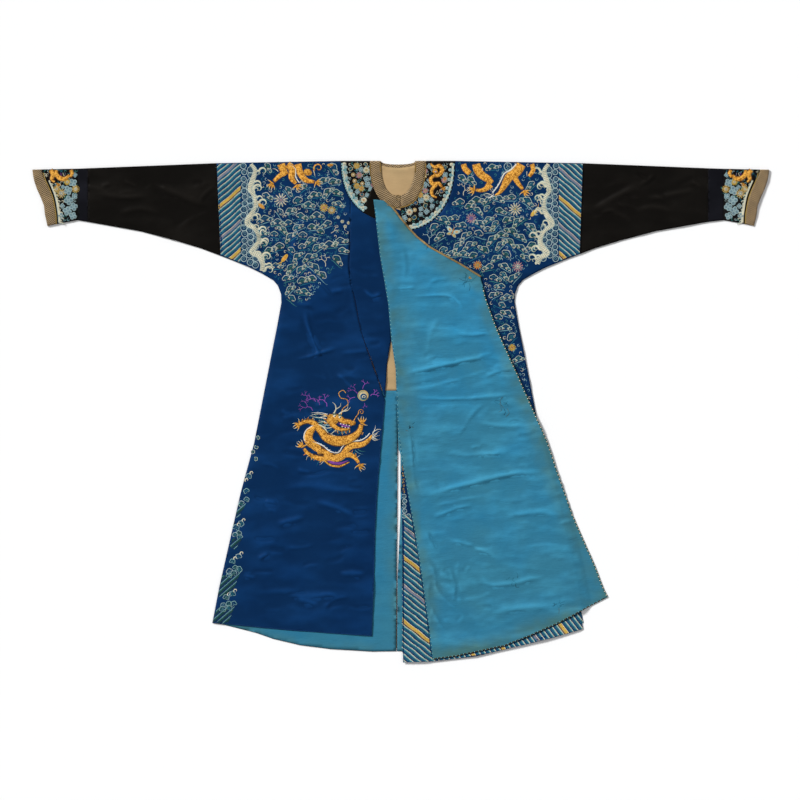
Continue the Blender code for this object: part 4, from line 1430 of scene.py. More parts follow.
def fish(work, centre, length, turn, colour, trim):
    """A small fish: a body, a forked tail and an eye."""
    heading = toward(turn)
    beside = square_to(heading)
    middle = Vector(centre)
    blob(work, centre, (length, length * 0.42), colour, trim, turn, 0.6, sides=10)
    for side in (-1, 1):
        tail = middle - heading * length * 0.45
        ribbon(
            work,
            [
                tail, tail - heading * length * 0.3 + beside * side * length * 0.12,
                tail - heading * length * 0.55 + beside * side * length * 0.3
            ],
            (3.0, 2.4, 0.6), trim, 0.4
        )
        ribbon(
            work,
            [
                middle + beside * side * length * 0.15,
                middle - heading * length * 0.1 + beside * side * length * 0.42
            ],
            (2.4, 0.6), ICE, 0.4
        )
    blob(work, middle + heading * length * 0.3, (2.0, 2.0), BLACK, rise=0.9, sides=6)


def butterfly(work, centre, span, turn):
    """A butterfly seen from above: four graded wings, a body and feelers."""
    heading = toward(turn)
    beside = square_to(heading)
    for side in (-1, 1):
        for along, across, long, broad, tint in (
            (0.12, 0.28, 0.62, 0.36, CREAM),
            (-0.2, 0.2, 0.42, 0.26, YELLOW),
        ):
            place = Vector(centre) + heading * along * span + beside * side * across * span
            lean = turn + side * (pi / 2 - 0.5 * copysign(1, along))
            blob(
                work, place, (span * long, span * broad), tint, PALE, lean, 0.5, sides=10, lobes=3,
                deep=0.08
            )
            blob(
                work, place, (span * long * 0.4, span * broad * 0.4), ORANGE, STRAW, lean, 0.3,
                0.45, sides=7
            )
        tip = Vector(centre) + heading * span * 0.3
        ribbon(
            work,
            [
                tip, tip + heading * span * 0.15 + beside * side * 3,
                tip + heading * span * 0.22 + beside * side * 7
            ],
            (1.2, 0.8), CREAM, 0.35
        )
    ribbon(
        work, [Vector(centre) - heading * span * 0.25, Vector(centre) + heading * span * 0.3],
        (1.2, 3.6, 2.0), ORANGE, 0.9
    )


TRIES = 6000


def scattered(work, zone, gap, seed, taken, draw):
    """Works clouds all over a zone, about `gap` apart and clear of what is already there."""
    chance = random.Random(seed)
    outs, downs = [p[0] for p in zone], [p[1] for p in zone]
    placed_at = list(taken)
    for _ in range(TRIES):
        spot = (chance.uniform(min(outs), max(outs)), chance.uniform(min(downs), max(downs)))
        size = gap * chance.uniform(0.40, 0.52)
        if any(dist(spot, p[:2]) < p[2] + size for p in placed_at):
            continue
        rim_clear = all(
            workable(work, zone, spot[0] + size * cos(a), spot[1] + size * sin(a))
            for a in (0.0, 1.57, 3.14, 4.71)
        )
        if rim_clear:
            placed_at.append((*spot, size))
            draw(work, spot, size * 2.05, chance)
    return placed_at


def body_cloud(work, spot, size, chance):
    """One of the clouds of the body, tilted a little, of one to three heads."""
    cloud(work, spot, size, chance.uniform(-0.9, 0.9), chance.choice((1, 2, 3, 2, 3)), chance)


CHEST_ZONES = {
    "right": (
        (-388, 3), (-166, 3), (-168, 60), (-152, 110), (-138, 150), (-140, 262), (-212, 338),
        (-244, 398), (-318, 408), (-328, 352), (-352, 325), (-372, 296), (-398, 240), (-392, 120)
    ),
    "left": (
        (80, 185), (120, 165), (158, 120), (167, 3), (402, 3), (404, 228), (368, 300), (338, 350),
        (327, 392), (336, 470), (396, 727), (240, 727), (60, 240)
    ),
}
CLOUD_GAP = 29.5
CURL_GAP = 9.5
right_work = new_work(right_cloth, gore_cloth)
left_work = new_work(left_cloth)
luck = random.Random(17)
flower(right_work, (-332, 111), 18, CREAM, PINK, PALE, luck)
flower(right_work, (-210, 133), 11, YELLOW, ORANGE, PALE, luck)
flower(right_work, (-188, 140), 10, STRAW, CREAM, GREEN, luck)
fish(right_work, (-388, 128), 27, 0.7, ORANGE, STRAW)
fish(right_work, (-322, 276), 30, -0.9, ORANGE, YELLOW)
coral(right_work, (-206, 300), -1.7, 15, CREAM, luck)
coral(right_work, (-190, 205), -0.6, 12, CREAM, luck, 2)
for out, down in ((-170, 160), (-158, 172), (-150, 186), (-140, 176)):
    blob(right_work, (out, down), (11, 11), TEAL, CREAM, rise=0.4, sides=10)
    blob(right_work, (out, down), (4.5, 4.5), STRAW, rise=0.4, lie=0.3, sides=7)
butterfly(left_work, (155, 202), 38, -1.2)
coral(left_work, (88, 236), -1.5, 17, ICE, luck)
coral(left_work, (186, 98), -1.3, 16, CREAM, luck)
flower(left_work, (333, 137), 17, CREAM, YELLOW, PALE, luck)
flower(left_work, (208, 163), 13, PINK, VIOLET, PALE, luck)
flower(left_work, (340, 300), 14, PINK, CREAM, PALE, luck)
flower(left_work, (324, 530), 9, YELLOW, ORANGE, PALE, luck)
flower(left_work, (226, 296), 11, ORANGE, YELLOW, PALE, luck)
fish(left_work, (386, 147), 30, 2.3, YELLOW, STRAW)
RIGHT_TAKEN = [
    (-332, 111, 21), (-200, 136, 21), (-388, 128, 15), (-322, 276, 15),
    (-206, 285, 16), (-190, 205, 10),
    (-155, 174, 15), (-326, 28, 22), (-350, 56, 20), (-300, 52, 20), (-276, 28, 22), (-246, 52, 20),
    (-232, 22, 16),
]
LEFT_TAKEN = [
    (155, 202, 20), (88, 222, 18), (186, 82, 16), (333, 137, 20), (208, 163, 15), (340, 300, 17),
    (324, 530, 11), (226, 296, 13), (386, 147, 14), (196, 22, 18), (236, 34, 22), (262, 58, 20),
    (228, 80, 16), (342, 20, 22), (318, 46, 20), (296, 76, 16), (350, 74, 16), (380, 28, 14),
]
for work, zone, taken, seed in (
    (right_work, CHEST_ZONES["right"], RIGHT_TAKEN, 5),
    (left_work, CHEST_ZONES["left"], LEFT_TAKEN, 6),
):
    filled = scattered(work, zone, CLOUD_GAP, seed, taken, body_cloud)
    filled = [(out, down, radius * 0.92) for out, down, radius in filled]
    scattered(work, zone, CURL_GAP, seed + 2, filled, curl)
stitched("clouds_right_half", right_work, floss_silk)
stitched("clouds_left_half", left_work, floss_silk)

# ---- Dragons -------------------------------------------------------------------------------------
# Each dragon is couched in orange-gold thread over padding, with a white spine of floss, a teal
# mane and violet wisps. The one on the underlap is whole; those at the shoulders pass over to the
# back.

gold_thread = thread_finish("couched_gold_thread", 0.42, 0.03, scales=2.1)
# A darker copy of the gold, put at the rims of padded forms as painted shade.
GOLD_EDGE_SHADE = shaded(GOLD, 0.55)


def gold_limb(work, line, widths, rise=1.1, lie=0.0):
    """A padded length of gold, rounded over, with painted shade darkening it towards its edges."""
    ribbon(work, line, [wide + 3.2 for wide in widths], BROWN, 0.5, 3, 4.0, lie)
    ribbon(
        work, line, widths, (GOLD_EDGE_SHADE, GOLD, GOLD, GOLD, GOLD, GOLD, GOLD_EDGE_SHADE), rise, 7, 4.0, lie
    )


def talons(gold, floss, wrist, heading, size):
    """A paw of five spread toes, each ending in a curved pale claw."""
    # The paw's pad: gold with painted shade at its rim.
    blob(gold, wrist, (size * 0.95, size * 0.8), GOLD, GOLD_EDGE_SHADE, heading, 1.3, sides=10)
    for lean in (-1.25, -0.6, 0.0, 0.6, 1.9):
        angle = heading + lean
        run = toward(angle)
        beside = square_to(run) * copysign(0.22, lean)
        start = Vector(wrist)
        knuckle = start + run * size * 0.85
        gold_limb(
            gold, [start, start + run * size * 0.45 + beside * size * 0.5, knuckle],
            (size * 0.34, size * 0.30, size * 0.2), 0.9
        )
        ribbon(
            floss,
            [
                knuckle, knuckle + run * size * 0.22 - beside * size * 0.4,
                knuckle + run * size * 0.42 - beside * size * 1.3
            ],
            (2.4, 1.8, 0.4), CREAM, 0.8, step=3.0
        )


def spine(floss, line, width, spikes, side):
    """The white line along a dragon's back, with its row of small spikes."""
    ribbon(floss, line, width, WHITE, 1.2)
    ridge = rounded(line, spikes)
    for here, there in zip(ridge, ridge[1:]):
        run = (there - here).normalized()
        beside = square_to(run) * side
        ribbon(floss, [here, here + beside * 4.5 + run * 3.0], (2.6, 0.4), WHITE, 0.8, step=0)


def tufts(floss, roots, heading, length, colours, chance, spread=0.5, width=2.0):
    """Strands of hair from a row of roots, each with its own curve."""
    for i, root in enumerate(roots):
        angle = heading + chance.uniform(-spread, spread)
        run = toward(angle) * length * chance.uniform(0.7, 1.1)
        lean = square_to(run) * chance.uniform(-0.25, 0.25)
        start = Vector(root)
        ribbon(
            floss, [start, start + run * 0.5 + lean, start + run], (width, width * 0.8, 0.4),
            colours[i % len(colours)], 0.5, step=4.0
        )


UNDERLAP_DRAGON = (-176.0, 775.0)
gold = new_work(right_cloth)
floss = new_work(right_cloth)
hair_luck = random.Random(43)


def here(*points):
    """Points of the underlap's dragon, where it is worked."""
    return [(UNDERLAP_DRAGON[0] + p[0], UNDERLAP_DRAGON[1] + p[1]) for p in points]


BELLY_COIL = here(
    (-58, -22), (-76, -4), (-78, 18), (-60, 34), (-44, 48), (-24, 60), (2, 68), (20, 60), (31, 44),
    (50, 33), (74, 30), (92, 18), (102, 4)
)
CHEST_COIL = here((-58, -20), (-42, -6), (-26, 10), (0, 20), (28, 18), (50, 8), (66, -8), (72, -26))
for roots, lean, long, tints, spread, thick in (
    (
        ((-60, -36), (-52, -30), (-46, -24), (-40, -16), (-34, -10)), 3.5, 26, (GREEN, TEAL, PALE),
        0.5, 2.0
    ),
    (((-22, 60), (-34, 58), (-48, 62), (-58, 60), (-66, 56)), 2.3, 22, (GREEN, TEAL), 0.4, 1.8),
    (((36, 52), (44, 50), (54, 46), (62, 44)), 0.45, 24, (GREEN, TEAL, PALE), 0.3, 1.8),
    (((96, 12), (98, 8), (101, 4), (104, 0), (104, -4)), -1.0, 36, (CREAM, WHITE), 0.9, 2.6),
    (((98, 10), (103, 6), (100, 12)), 0.2, 26, (CREAM, WHITE), 0.7, 2.4),
):
    tufts(floss, here(*roots), lean, long, tints, hair_luck, spread, thick)
gold_limb(gold, here((-18, 68), (-45, 70), (-76, 58), (-91, 42)), (20, 16, 12, 9), 1.2)
talons(gold, floss, here((-97, 34))[0], -2.1, 14)
gold_limb(gold, BELLY_COIL, (14, 25, 28, 25, 23, 24, 25, 23, 20, 19, 18, 14, 5), 1.5)
gold_limb(gold, CHEST_COIL, (10, 20, 26, 28, 26, 21, 15, 11), 1.6, 0.9)
for work, roots, lean, long, tints, spread, thick in (
    (gold, ((-70, 62), (-58, 68), (-44, 74), (-84, 50)), 2.0, 13, (GOLD, ORANGE), 0.4, 4.5),
    (floss, ((-72, 60), (-60, 68), (-46, 76), (-34, 76)), 2.1, 17, (CREAM, GREEN, TEAL), 0.4, 2.0),
    (
        gold, ((-96, -36), (-82, -42), (-68, -38), (44, 54), (56, 62), (66, -8), (74, 2)), -1.4, 10,
        (GOLD, ORANGE), 0.5, 4.5
    ),
    (
        floss, ((-90, -38), (-76, -42), (-62, -36), (50, 56), (60, 68)), -1.2, 12, (CREAM, TEAL),
        0.6, 1.8
    ),
):
    tufts(work, here(*roots), lean, long, tints, hair_luck, spread, thick)
gold_limb(
    gold, here((-46, -12), (-60, -28), (-78, -36), (-94, -32), (-104, -26)), (18, 17, 13, 10, 8),
    1.4, 0.3
)
talons(gold, floss, here((-106, -26))[0], 2.9, 14)
talons(gold, floss, here((74, -33))[0], -1.2, 14)
gold_limb(gold, here((24, 58), (42, 60), (56, 70), (64, 82)), (20, 16, 11, 9), 1.3)
talons(gold, floss, here((68, 90))[0], 0.9, 14)
ribbon(floss, here((-34, 68), (-14, 80), (10, 84), (34, 76)), (2, 8, 8, 2), VIOLET, 0.6)
gold_limb(gold, here((-38, 72), (-16, 88), (10, 92), (38, 80)), (3, 6, 6, 2), 0.9)
spine(floss, here((-62, -26), (-86, -8), (-90, 16), (-74, 26)), 3.4, 14, -1)
spine(
    floss,
    here(
        (-74, 20), (-54, 26), (-36, 34), (-20, 47), (-2, 54), (10, 50), (18, 37), (30, 26),
        (48, 21), (70, 18), (86, 9), (96, -2)
    ),
    3.4, 13, -1
)
ribbon(floss, here((-52, -28), (-34, -18), (-22, -2), (-2, 6)), (3, 4, 3), CREAM, 1.0, lie=0.3)
ribbon(floss, here((-48, -14), (-38, 2), (-22, 14)), (2, 4, 1), VIOLET, 0.8, lie=1.2)
for roots, lean, long, tints, spread, thick in (
    (
        ((-36, -48), (-34, -42), (-30, -36), (-26, -28), (-20, -20), (-12, -14), (-2, -10),
            (10, -8), (22, -6)),
        2.9, 30, (TEAL, GREEN, CREAM, PALE), 0.45, 2.6
    ),
    (((-30, -50), (-28, -44), (-26, -50), (-24, -56)), 3.2, 46, (CREAM, WHITE), 0.22, 3.0),
    (((-24, -30), (-18, -24), (-12, -18)), 3.3, 30, (CREAM, ICE), 0.35, 2.8),
    (((-40, -30), (-34, -24), (-46, -40), (-52, -44)), 3.4, 34, (GREEN, TEAL), 0.35, 2.4),
    (((6, -12), (16, -10), (26, -10), (36, -12)), 1.9, 16, (GREEN, TEAL, PALE), 0.4, 2.4),
):
    tufts(floss, here(*roots), lean, long, tints, hair_luck, spread, thick)
# The head: gold with painted shade at its rim.
blob(gold, here((-10, -40))[0], (34, 36), GOLD, GOLD_EDGE_SHADE, 0.3, 2.0, sides=16, lobes=5, deep=0.09)
gold_limb(
    gold, here((-10, -46), (6, -46), (22, -36), (38, -34), (48, -27)), (22, 18, 15, 13, 12), 1.9,
    0.4
)
gold_limb(gold, here((-14, -30), (4, -16), (24, -12), (40, -15)), (16, 11, 8, 4), 1.3, 0.2)
ribbon(floss, here((8, -30), (22, -24), (40, -20)), (2, 8, 2), VIOLET, 0.5, lie=0.6)
for out, down in ((14, -29), (22, -27), (30, -25), (38, -23), (18, -20), (27, -18), (35, -17)):
    blob(floss, here((out, down))[0], (4.4, 3.4), WHITE, rise=0.9, lie=1.2, sides=6)
for out, down in ((-4, -50), (11, -47)):
    blob(floss, here((out, down))[0], (9.5, 7.5), WHITE, CREAM, rise=1.0, lie=1.7, sides=10)
    blob(floss, here((out + 1.5, down))[0], (4.2, 4.2), BLACK, rise=0.8, lie=2.4, sides=7)
    ribbon(
        floss, here((out - 7, down - 3), (out, down - 7), (out + 7, down - 3)), (1, 3, 1), GREEN,
        0.7, lie=1.9
    )
# The snout: gold with painted shade at its rim.
blob(gold, here((49, -31))[0], (15, 13), GOLD, GOLD_EDGE_SHADE, 0.0, 1.8, lie=0.8, sides=10)
for out in (46, 52):
    blob(floss, here((out, -34))[0], (2.4, 2.0), BROWN, rise=0.6, lie=2.2, sides=6)
for roots, lean, long, tints, spread, thick in (
    (((-4, -18), (6, -12), (16, -9), (28, -9), (38, -12)), 1.5, 13, (GOLD, ORANGE), 0.3, 4.0),
    (((-24, -50), (-27, -40), (-26, -30)), 3.3, 14, (GOLD, ORANGE), 0.3, 5.0),
):
    tufts(gold, here(*roots), lean, long, tints, hair_luck, spread, thick)
for antler in (
    ((-6, -58), (0, -70), (-2, -82), (-10, -90)),
    ((8, -56), (20, -64), (32, -66), (42, -76)),
):
    ribbon(floss, here(*antler), (4.6, 3.6, 2.4, 1.0), CREAM, 1.0)
    fork = Vector(here(antler[1])[0])
    ribbon(
        floss, [fork, fork + Vector((12, -8)), fork + Vector((14, -18))], (3.0, 2.2, 0.8), CREAM,
        0.9
    )
ribbon(
    gold,
    here((14, -52), (20, -72), (34, -84), (30, -98), (14, -102), (8, -116), (20, -124), (28, -116)),
    (2.6, 2.4, 2.2, 1.6), GOLD, 0.8
)
ribbon(
    gold,
    [
        *here((46, -26), (54, -44), (64, -58)),
        *spiral(here((72, -62))[0], 9.0, 2.7, 1.3, 1, steps=12)
    ],
    (2.6, 2.2, 1.4), GOLD, 0.8
)
for wisp, heading, length, depth in (
    ((-66, -66), -2.5, 19, 3), ((-58, -92), -2.6, 15, 2), ((-46, -82), -1.9, 14, 2),
    ((-80, -100), -2.2, 12, 2), ((-26, -78), -2.0, 16, 3), ((64, -112), -2.4, 15, 3),
    ((76, -128), -1.2, 13, 2), ((98, -108), -0.4, 11, 3), ((54, -104), 2.9, 12, 2),
    ((80, -88), 1.4, 8, 2),
):
    coral(
        floss, here(wisp)[0], heading, length, hair_luck.choice((VIOLET, shaded(VIOLET, 1.5))),
        hair_luck, depth
    )
PEARL = here((77, -109))[0]
blob(floss, PEARL, (33, 33), CREAM, STRAW, rise=0.8, sides=18)
ribbon(
    floss, spiral(PEARL, 12.5, 0.5, 0.7, 1, 1.0, steps=18), (0.8, 2.0, 0.8), shaded(GREEN, 1.5),
    0.4, lie=0.75, step=0
)
blob(floss, (PEARL[0] + 1, PEARL[1] + 3), (19, 17), NAVY, BLUE, rise=0.5, lie=0.9, sides=12)
ribbon(
    floss, spiral((PEARL[0] + 3, PEARL[1] + 4), 5.5, 2.6, 1.1, 1, steps=10), (2.4, 2.0, 1.0), CREAM,
    0.5, lie=1.45, step=0
)
stitched("underlap_dragon_gold", gold, gold_thread)
stitched("underlap_dragon_floss", floss, floss_silk)

shoulder_gold = new_work(right_cloth, left_cloth)
shoulder_floss = new_work(right_cloth, left_cloth)
for line, widths, rise in (
    (((-332, 9), (-326, 26), (-318, 40)), (24, 22, 18), 1.4),
    (((-318, 30), (-338, 44), (-352, 58)), (17, 14, 10), 1.3),
    (((-314, 10), (-300, 24), (-302, 48), (-290, 64)), (20, 24, 18, 10), 1.4),
    (((-284, 9), (-278, 34), (-262, 54), (-238, 60)), (20, 20, 17, 9), 1.4),
    (((186, 9), (190, 22), (204, 36)), (16, 18, 16), 1.3),
    (((222, 9), (226, 24), (238, 40), (256, 52), (268, 62)), (24, 26, 24, 22, 12), 1.5),
    (((262, 66), (248, 80), (232, 84), (222, 82)), (24, 16, 11, 8), 1.4),
    (
        ((350, 10), (338, 30), (316, 46), (304, 66), (290, 88), (276, 98)), (28, 28, 27, 22, 14, 4),
        1.6
    ),
    (((330, 44), (340, 62), (354, 80)), (18, 14, 9), 1.4),
    (((380, 9), (384, 26), (372, 44)), (14, 14, 10), 1.2),
):
    gold_limb(shoulder_gold, line, widths, rise)
for wrist, heading, size in (
    ((-358, 66), 2.2, 14),
    ((-286, 72), 0.8, 14),
    ((-230, 62), 0.3, 13),
    ((214, 82), 3.0, 15),
    ((360, 88), 0.9, 14),
):
    talons(shoulder_gold, shoulder_floss, wrist, heading, size)
for roots, heading, length, colours, spread, width in (
    (((-262, 20), (-250, 16), (-240, 26), (-246, 42)), 0.9, 26, (TEAL, GREEN, CREAM), 0.8, 2.6),
    (((-336, 20), (-340, 30), (-330, 44)), 3.0, 20, (TEAL, CREAM), 0.6, 2.4),
    (((272, 96), (268, 98), (274, 100)), 2.7, 30, (WHITE, CREAM), 0.6, 2.6),
    (
        ((206, 26), (214, 30), (240, 20), (248, 30), (200, 40)), 1.8, 22, (TEAL, GREEN, CREAM), 0.9,
        2.6
    ),
    (((296, 22), (300, 30), (366, 30), (374, 40)), 2.0, 22, (TEAL, PALE, CREAM), 0.8, 2.4),
):
    tufts(shoulder_floss, roots, heading, length, colours, hair_luck, spread, width)
spine(shoulder_floss, ((-308, 9), (-292, 22), (-290, 46), (-280, 62)), 3.4, 13, -1)
# Gold with painted shade at its rim.
blob(shoulder_gold, (-256, 32), (26, 20), GOLD, GOLD_EDGE_SHADE, 0.4, 1.6, sides=12)
ribbon(shoulder_gold, spiral((-226, 20), 14, 2.6, 1.1, 1, steps=12), (5, 3, 1.2), GOLD, 0.9, step=0)
blob(shoulder_gold, (-192, 12), (20, 9), ORANGE, STRAW, 0.0, 1.0, sides=12)
spine(shoulder_floss, ((336, 9), (320, 26), (302, 36), (292, 56), (280, 76), (268, 90)), 3.8, 13, 1)
rings_of_spray(shoulder_floss, (312, 16), 12)
stitched("shoulder_dragons_gold", shoulder_gold, gold_thread)
stitched("shoulder_dragons_floss", shoulder_floss, floss_silk)

# ---- Waves at the openings and hems --------------------------------------------------------------
# The robe's sides and front opening carry rocks, spray and foam over slanting bands of water. Only
# their edges show: along the underlap's side, down the left front's opening, and under its hem.

side_work = new_work(right_cloth)
spray = random.Random(71)
# Each group down the side: its foaming crest, its ringed spray, and the zone of its bands of water.
SIDE_GROUPS = (
    (
        ((-424, 896), (-438, 916), (-430, 938), (-446, 956)), ((-430, 962), (-444, 974)),
        ((-452, 968), (-430, 972), (-452, 1012), (-463, 1014))
    ),
    (
        ((-446, 1030), (-460, 1042), (-452, 1058)), ((-462, 1062), (-449, 1068)),
        ((-470, 1070), (-442, 1074), (-464, 1106), (-478, 1096))
    ),
    (
        ((-452, 1124), (-470, 1138), (-462, 1156), (-478, 1166)),
        ((-466, 1172), (-452, 1160), (-480, 1178)),
        ((-500, 1178), (-446, 1166), (-470, 1226), (-516, 1240))
    ),
    (
        ((-470, 1230), (-488, 1240), (-480, 1258), (-496, 1262)),
        ((-480, 1270), (-466, 1258), (-498, 1274)),
        ((-514, 1268), (-462, 1260), (-482, 1316), (-530, 1318))
    ),
)
DEEP_BANDS = (
    PALE, shaded(TEAL, 0.45), shaded(GREEN, 0.35), shaded(GREEN, 0.2), NAVY, NAVY, NAVY, NAVY
)
MAUVE_BANDS = (
    DOVE, shaded(DOVE, 0.6), shaded(DOVE, 0.4), BLUE, shaded(BLUE, 0.6), NAVY, NAVY, NAVY
)
for crest, rings, bands in SIDE_GROUPS:
    odd = ((bands[2], DEEP_BANDS), (bands[0], MAUVE_BANDS))
    standing_water(side_work, bands, -BAND_SLOPE, 12.5, odd, plain=DEEP_BANDS)
    for spot in (*crest, *rings):
        if ground_at(side_work, spot[0] - 8, spot[1]) is not None:
            cloud_head(
                side_work, spot, spray.uniform(7.5, 9.5), spray.uniform(-2.6, -0.4), spray, ICE
            )
    for spot in crest[:2]:
        tip = (spot[0] + 9, spot[1] - 10)
        ribbon(
            side_work, spiral(tip, 6.0, 2.4, 0.8, 1, 0.3, steps=8), (3.4, 3.0, 1.0), CREAM, 0.5,
            step=0
        )
for spot in ((-398, 786), (-402, 812), (-412, 826), (-404, 846)):
    cloud_head(side_work, spot, 5.5, spray.uniform(-2, 2), spray)
stitched("side_waves_right", side_work, floss_silk)

opening_work = new_work(left_cloth)
OPENING_BANDS = ((9.5, 1004), (112, 1004), (112, 1424), (8, 1424))
HEM_BANDS = ((112, 1200), (540, 1200), (540, 1345), (112, 1424))
OPENING_ODD = (
    ((20, 1125), YELLOW_BAND), ((40, 1330), YELLOW_BAND), ((16, 1040), PINK_BAND),
    ((40, 1225), PINK_BAND)
)
HEM_ODD = (
    ((470, 1338), YELLOW_BAND), ((300, 1384), YELLOW_BAND), ((210, 1404), YELLOW_BAND),
    ((400, 1362), PINK_BAND)
)
standing_water(opening_work, OPENING_BANDS, radians(38), 13.0, OPENING_ODD, sway=0.8)
standing_water(opening_work, HEM_BANDS, radians(52), 13.0, HEM_ODD)
for down in range(868, 948, 9):
    spot = (11.5 + 0.0455 * (down - 821), down)
    tint = (CREAM, YELLOW, ICE)[down % 3]
    ribbon(opening_work, spiral(spot, 3.6, down, 0.9, steps=7), (0.8, 1.9, 0.8), tint, 0.5, step=0)
for down in range(952, 1010, 14):
    for out in (17, 30):
        spot = (out + (down % 28) / 7, down)
        if workable(
            opening_work, ((9, 900), (120, 900), (120, 1100), (9, 1100)), spot[0] + 7, spot[1]
        ):
            rings_of_spray(opening_work, spot, 6.5)
stitched("opening_waves_left", opening_work, floss_silk)

# ---- Needlework of the collar --------------------------------------------------------------------
# Clouds and flowers crowded on black, a small gold dragon at the side, and a scalloped pale border
# that follows the collar's outer edge.

collar_work = new_work(collar_cloth)
collar_gold = new_work(collar_cloth)
COLLAR_POWER = 2 / 2.3
COLLAR_BORDER = {"half_width": 156.0, "left": 193.0, "right": 166.0}
DUSTY = (0.130, 0.230, 0.290)


def collar_line(side, inset, start, end, steps=40):
    """A line round the front of the collar, `inset` from its border, between two angles."""
    way = 1 if side == "left" else -1
    wide, deep = COLLAR_BORDER["half_width"] - inset, COLLAR_BORDER[side] - inset
    line = []
    for i in range(steps + 1):
        angle = start + (end - start) * i / steps
        line.append((way * wide * cos(angle) ** COLLAR_POWER, deep * sin(angle) ** COLLAR_POWER))
    return line


def clover(work, centre, size, chance):
    """A cloud of four round lobes, each with a curl in it."""
    turn = chance.uniform(0, tau)
    for i in range(4):
        angle = turn + tau * i / 4
        spot = (centre[0] + 0.27 * size * cos(angle), centre[1] + 0.27 * size * sin(angle))
        blob(work, spot, (0.54 * size, 0.54 * size), DUSTY, ICE, angle, 0.5, sides=10)
        ribbon(
            work, spiral(spot, 0.15 * size, angle, 0.9, steps=6), 1.2, shaded(DUSTY, 0.35), 0.3,
            lie=0.4, step=0
        )


for side, end in (("left", 1.45), ("right", 0.95)):
    lobes = collar_line(side, 0.0, 0.035, end, 21)
    ribbon(collar_work, lobes, 8.0, (ICE, CREAM, PALE), 0.5)
    for i, spot in enumerate(lobes):
        tint = (CREAM, ICE, PALE, ICE)[i % 4]
        inner = collar_line(side, 3.5 + 3.0 * (i % 2), 0.035, end, 21)[i]
        blob(collar_work, inner, (12.0, 10.0), tint, shaded(tint, 0.8), i * 0.15, 0.7, 0.2, sides=9)
        ribbon(collar_work, spiral(inner, 3.4, i, 0.8, steps=6), 1.0, TEAL, 0.3, lie=0.9, step=0)
        blob(
            collar_work, (spot[0] * 1.012, spot[1] * 1.012), (8, 7), ICE, PALE, i, 0.5, 0.1, sides=8
        )


def collar_sprig(work, spot, size, chance):
    """One of the crowded small figures of the collar and cuffs."""
    kind = chance.random()
    if kind < 0.16:
        flower(
            work, spot, size * 0.5, chance.choice((CREAM, STRAW, PINK)),
            chance.choice((ORANGE, YELLOW)), PALE, chance
        )
    elif kind < 0.30:
        blob(work, spot, (size * 0.8, size * 0.8), CREAM, STRAW, rise=0.6, sides=10)
        ribbon(
            work, spiral(spot, size * 0.22, 0, 1.0, inner=1.0, steps=9), 1.5, BROWN, 0.4, lie=0.5,
            step=0
        )
    elif kind < 0.42:
        cloud_head(
            work, spot, size * 0.42, chance.uniform(-3, 3), chance,
            chance.choice((ORANGE, YELLOW, STRAW))
        )
    else:
        clover(work, spot, size * 1.05, chance)


COLLAR_FIELD = ((-152, 3), (152, 3), (152, 192), (-152, 192))
COLLAR_TAKEN = [(116, 20, 11), (104, 38, 13), (112, 62, 13), (100, 84, 11), (110, 104, 9)]
COLLAR_TAKEN += [
    (*spot, 6.5) for side in ("left", "right") for spot in collar_line(side, 6.0, 0.03, 1.5, 60)
]
filled = scattered(collar_work, COLLAR_FIELD, 16.0, 12, COLLAR_TAKEN, collar_sprig)
scattered(collar_work, COLLAR_FIELD, 8.0, 13, [(o, d, r * 0.95) for o, d, r in filled], curl)
DRAGON_LIMBS = (
    (((92, 8), (104, 18), (118, 14), (126, 26), (116, 40), (100, 42)), (5, 9, 11, 12, 11, 7)),
    (((100, 42), (92, 54), (100, 66), (116, 64), (124, 74)), (8, 11, 12, 11, 6)),
    (((108, 68), (96, 82), (98, 98), (110, 104)), (9, 10, 9, 4)),
)
for line, widths in DRAGON_LIMBS:
    gold_limb(collar_gold, line, widths, 1.1, 0.3)
# The collar dragon's head: gold with painted shade at its rim.
blob(collar_gold, (106, 30), (17, 14), GOLD, GOLD_EDGE_SHADE, 0.4, 1.5, 0.4, sides=12, lobes=5, deep=0.1)
blob(collar_work, (107, 31), (6, 4), VIOLET, WHITE, 0.4, 0.8, 1.8, sides=8)
talons(collar_gold, collar_work, (128, 78), 0.6, 8)
talons(collar_gold, collar_work, (132, 50), 0.0, 7)
tufts(
    collar_work, ((98, 22), (94, 32), (96, 46), (112, 84)), 2.4, 13, (CREAM, TEAL, VIOLET),
    hair_luck, 0.8, 1.8
)
stitched("collar_needlework", collar_work, floss_silk)
stitched("collar_gold", collar_gold, gold_thread)

# ---- Needlework of the cuffs ---------------------------------------------------------------------
# Pale clouds and flowers on black, part of a gold dragon, and a scalloped pale wave beside the
# brocade, which is set off by a line of olive piping.

CUFF_LINES = {
    "left": ((1023, 34), (1016, 56), (1005, 80), (996, 104), (991, 127), (987, 153), (986, 180)),
    "right": (
        (-1007, 34), (-1000, 56), (-989, 80), (-980, 104), (-975, 127), (-971, 153), (-970, 180)
    ),
}
OLIVE = (0.110, 0.085, 0.022)
# Each motif of a cuff is placed by its distance past the seam, and down.
CUFF_CLOVERS = (
    (14, 62, 24), (28, 84, 27), (9, 100, 18), (26, 112, 27), (12, 130, 24), (30, 142, 26),
    (14, 156, 22), (44, 128, 15), (48, 156, 17), (8, 40, 14), (42, 74, 12)
)
CUFF_FLOWERS = ((47, 92, 13), (6, 80, 10), (60, 80, 8), (30, 60, 8))

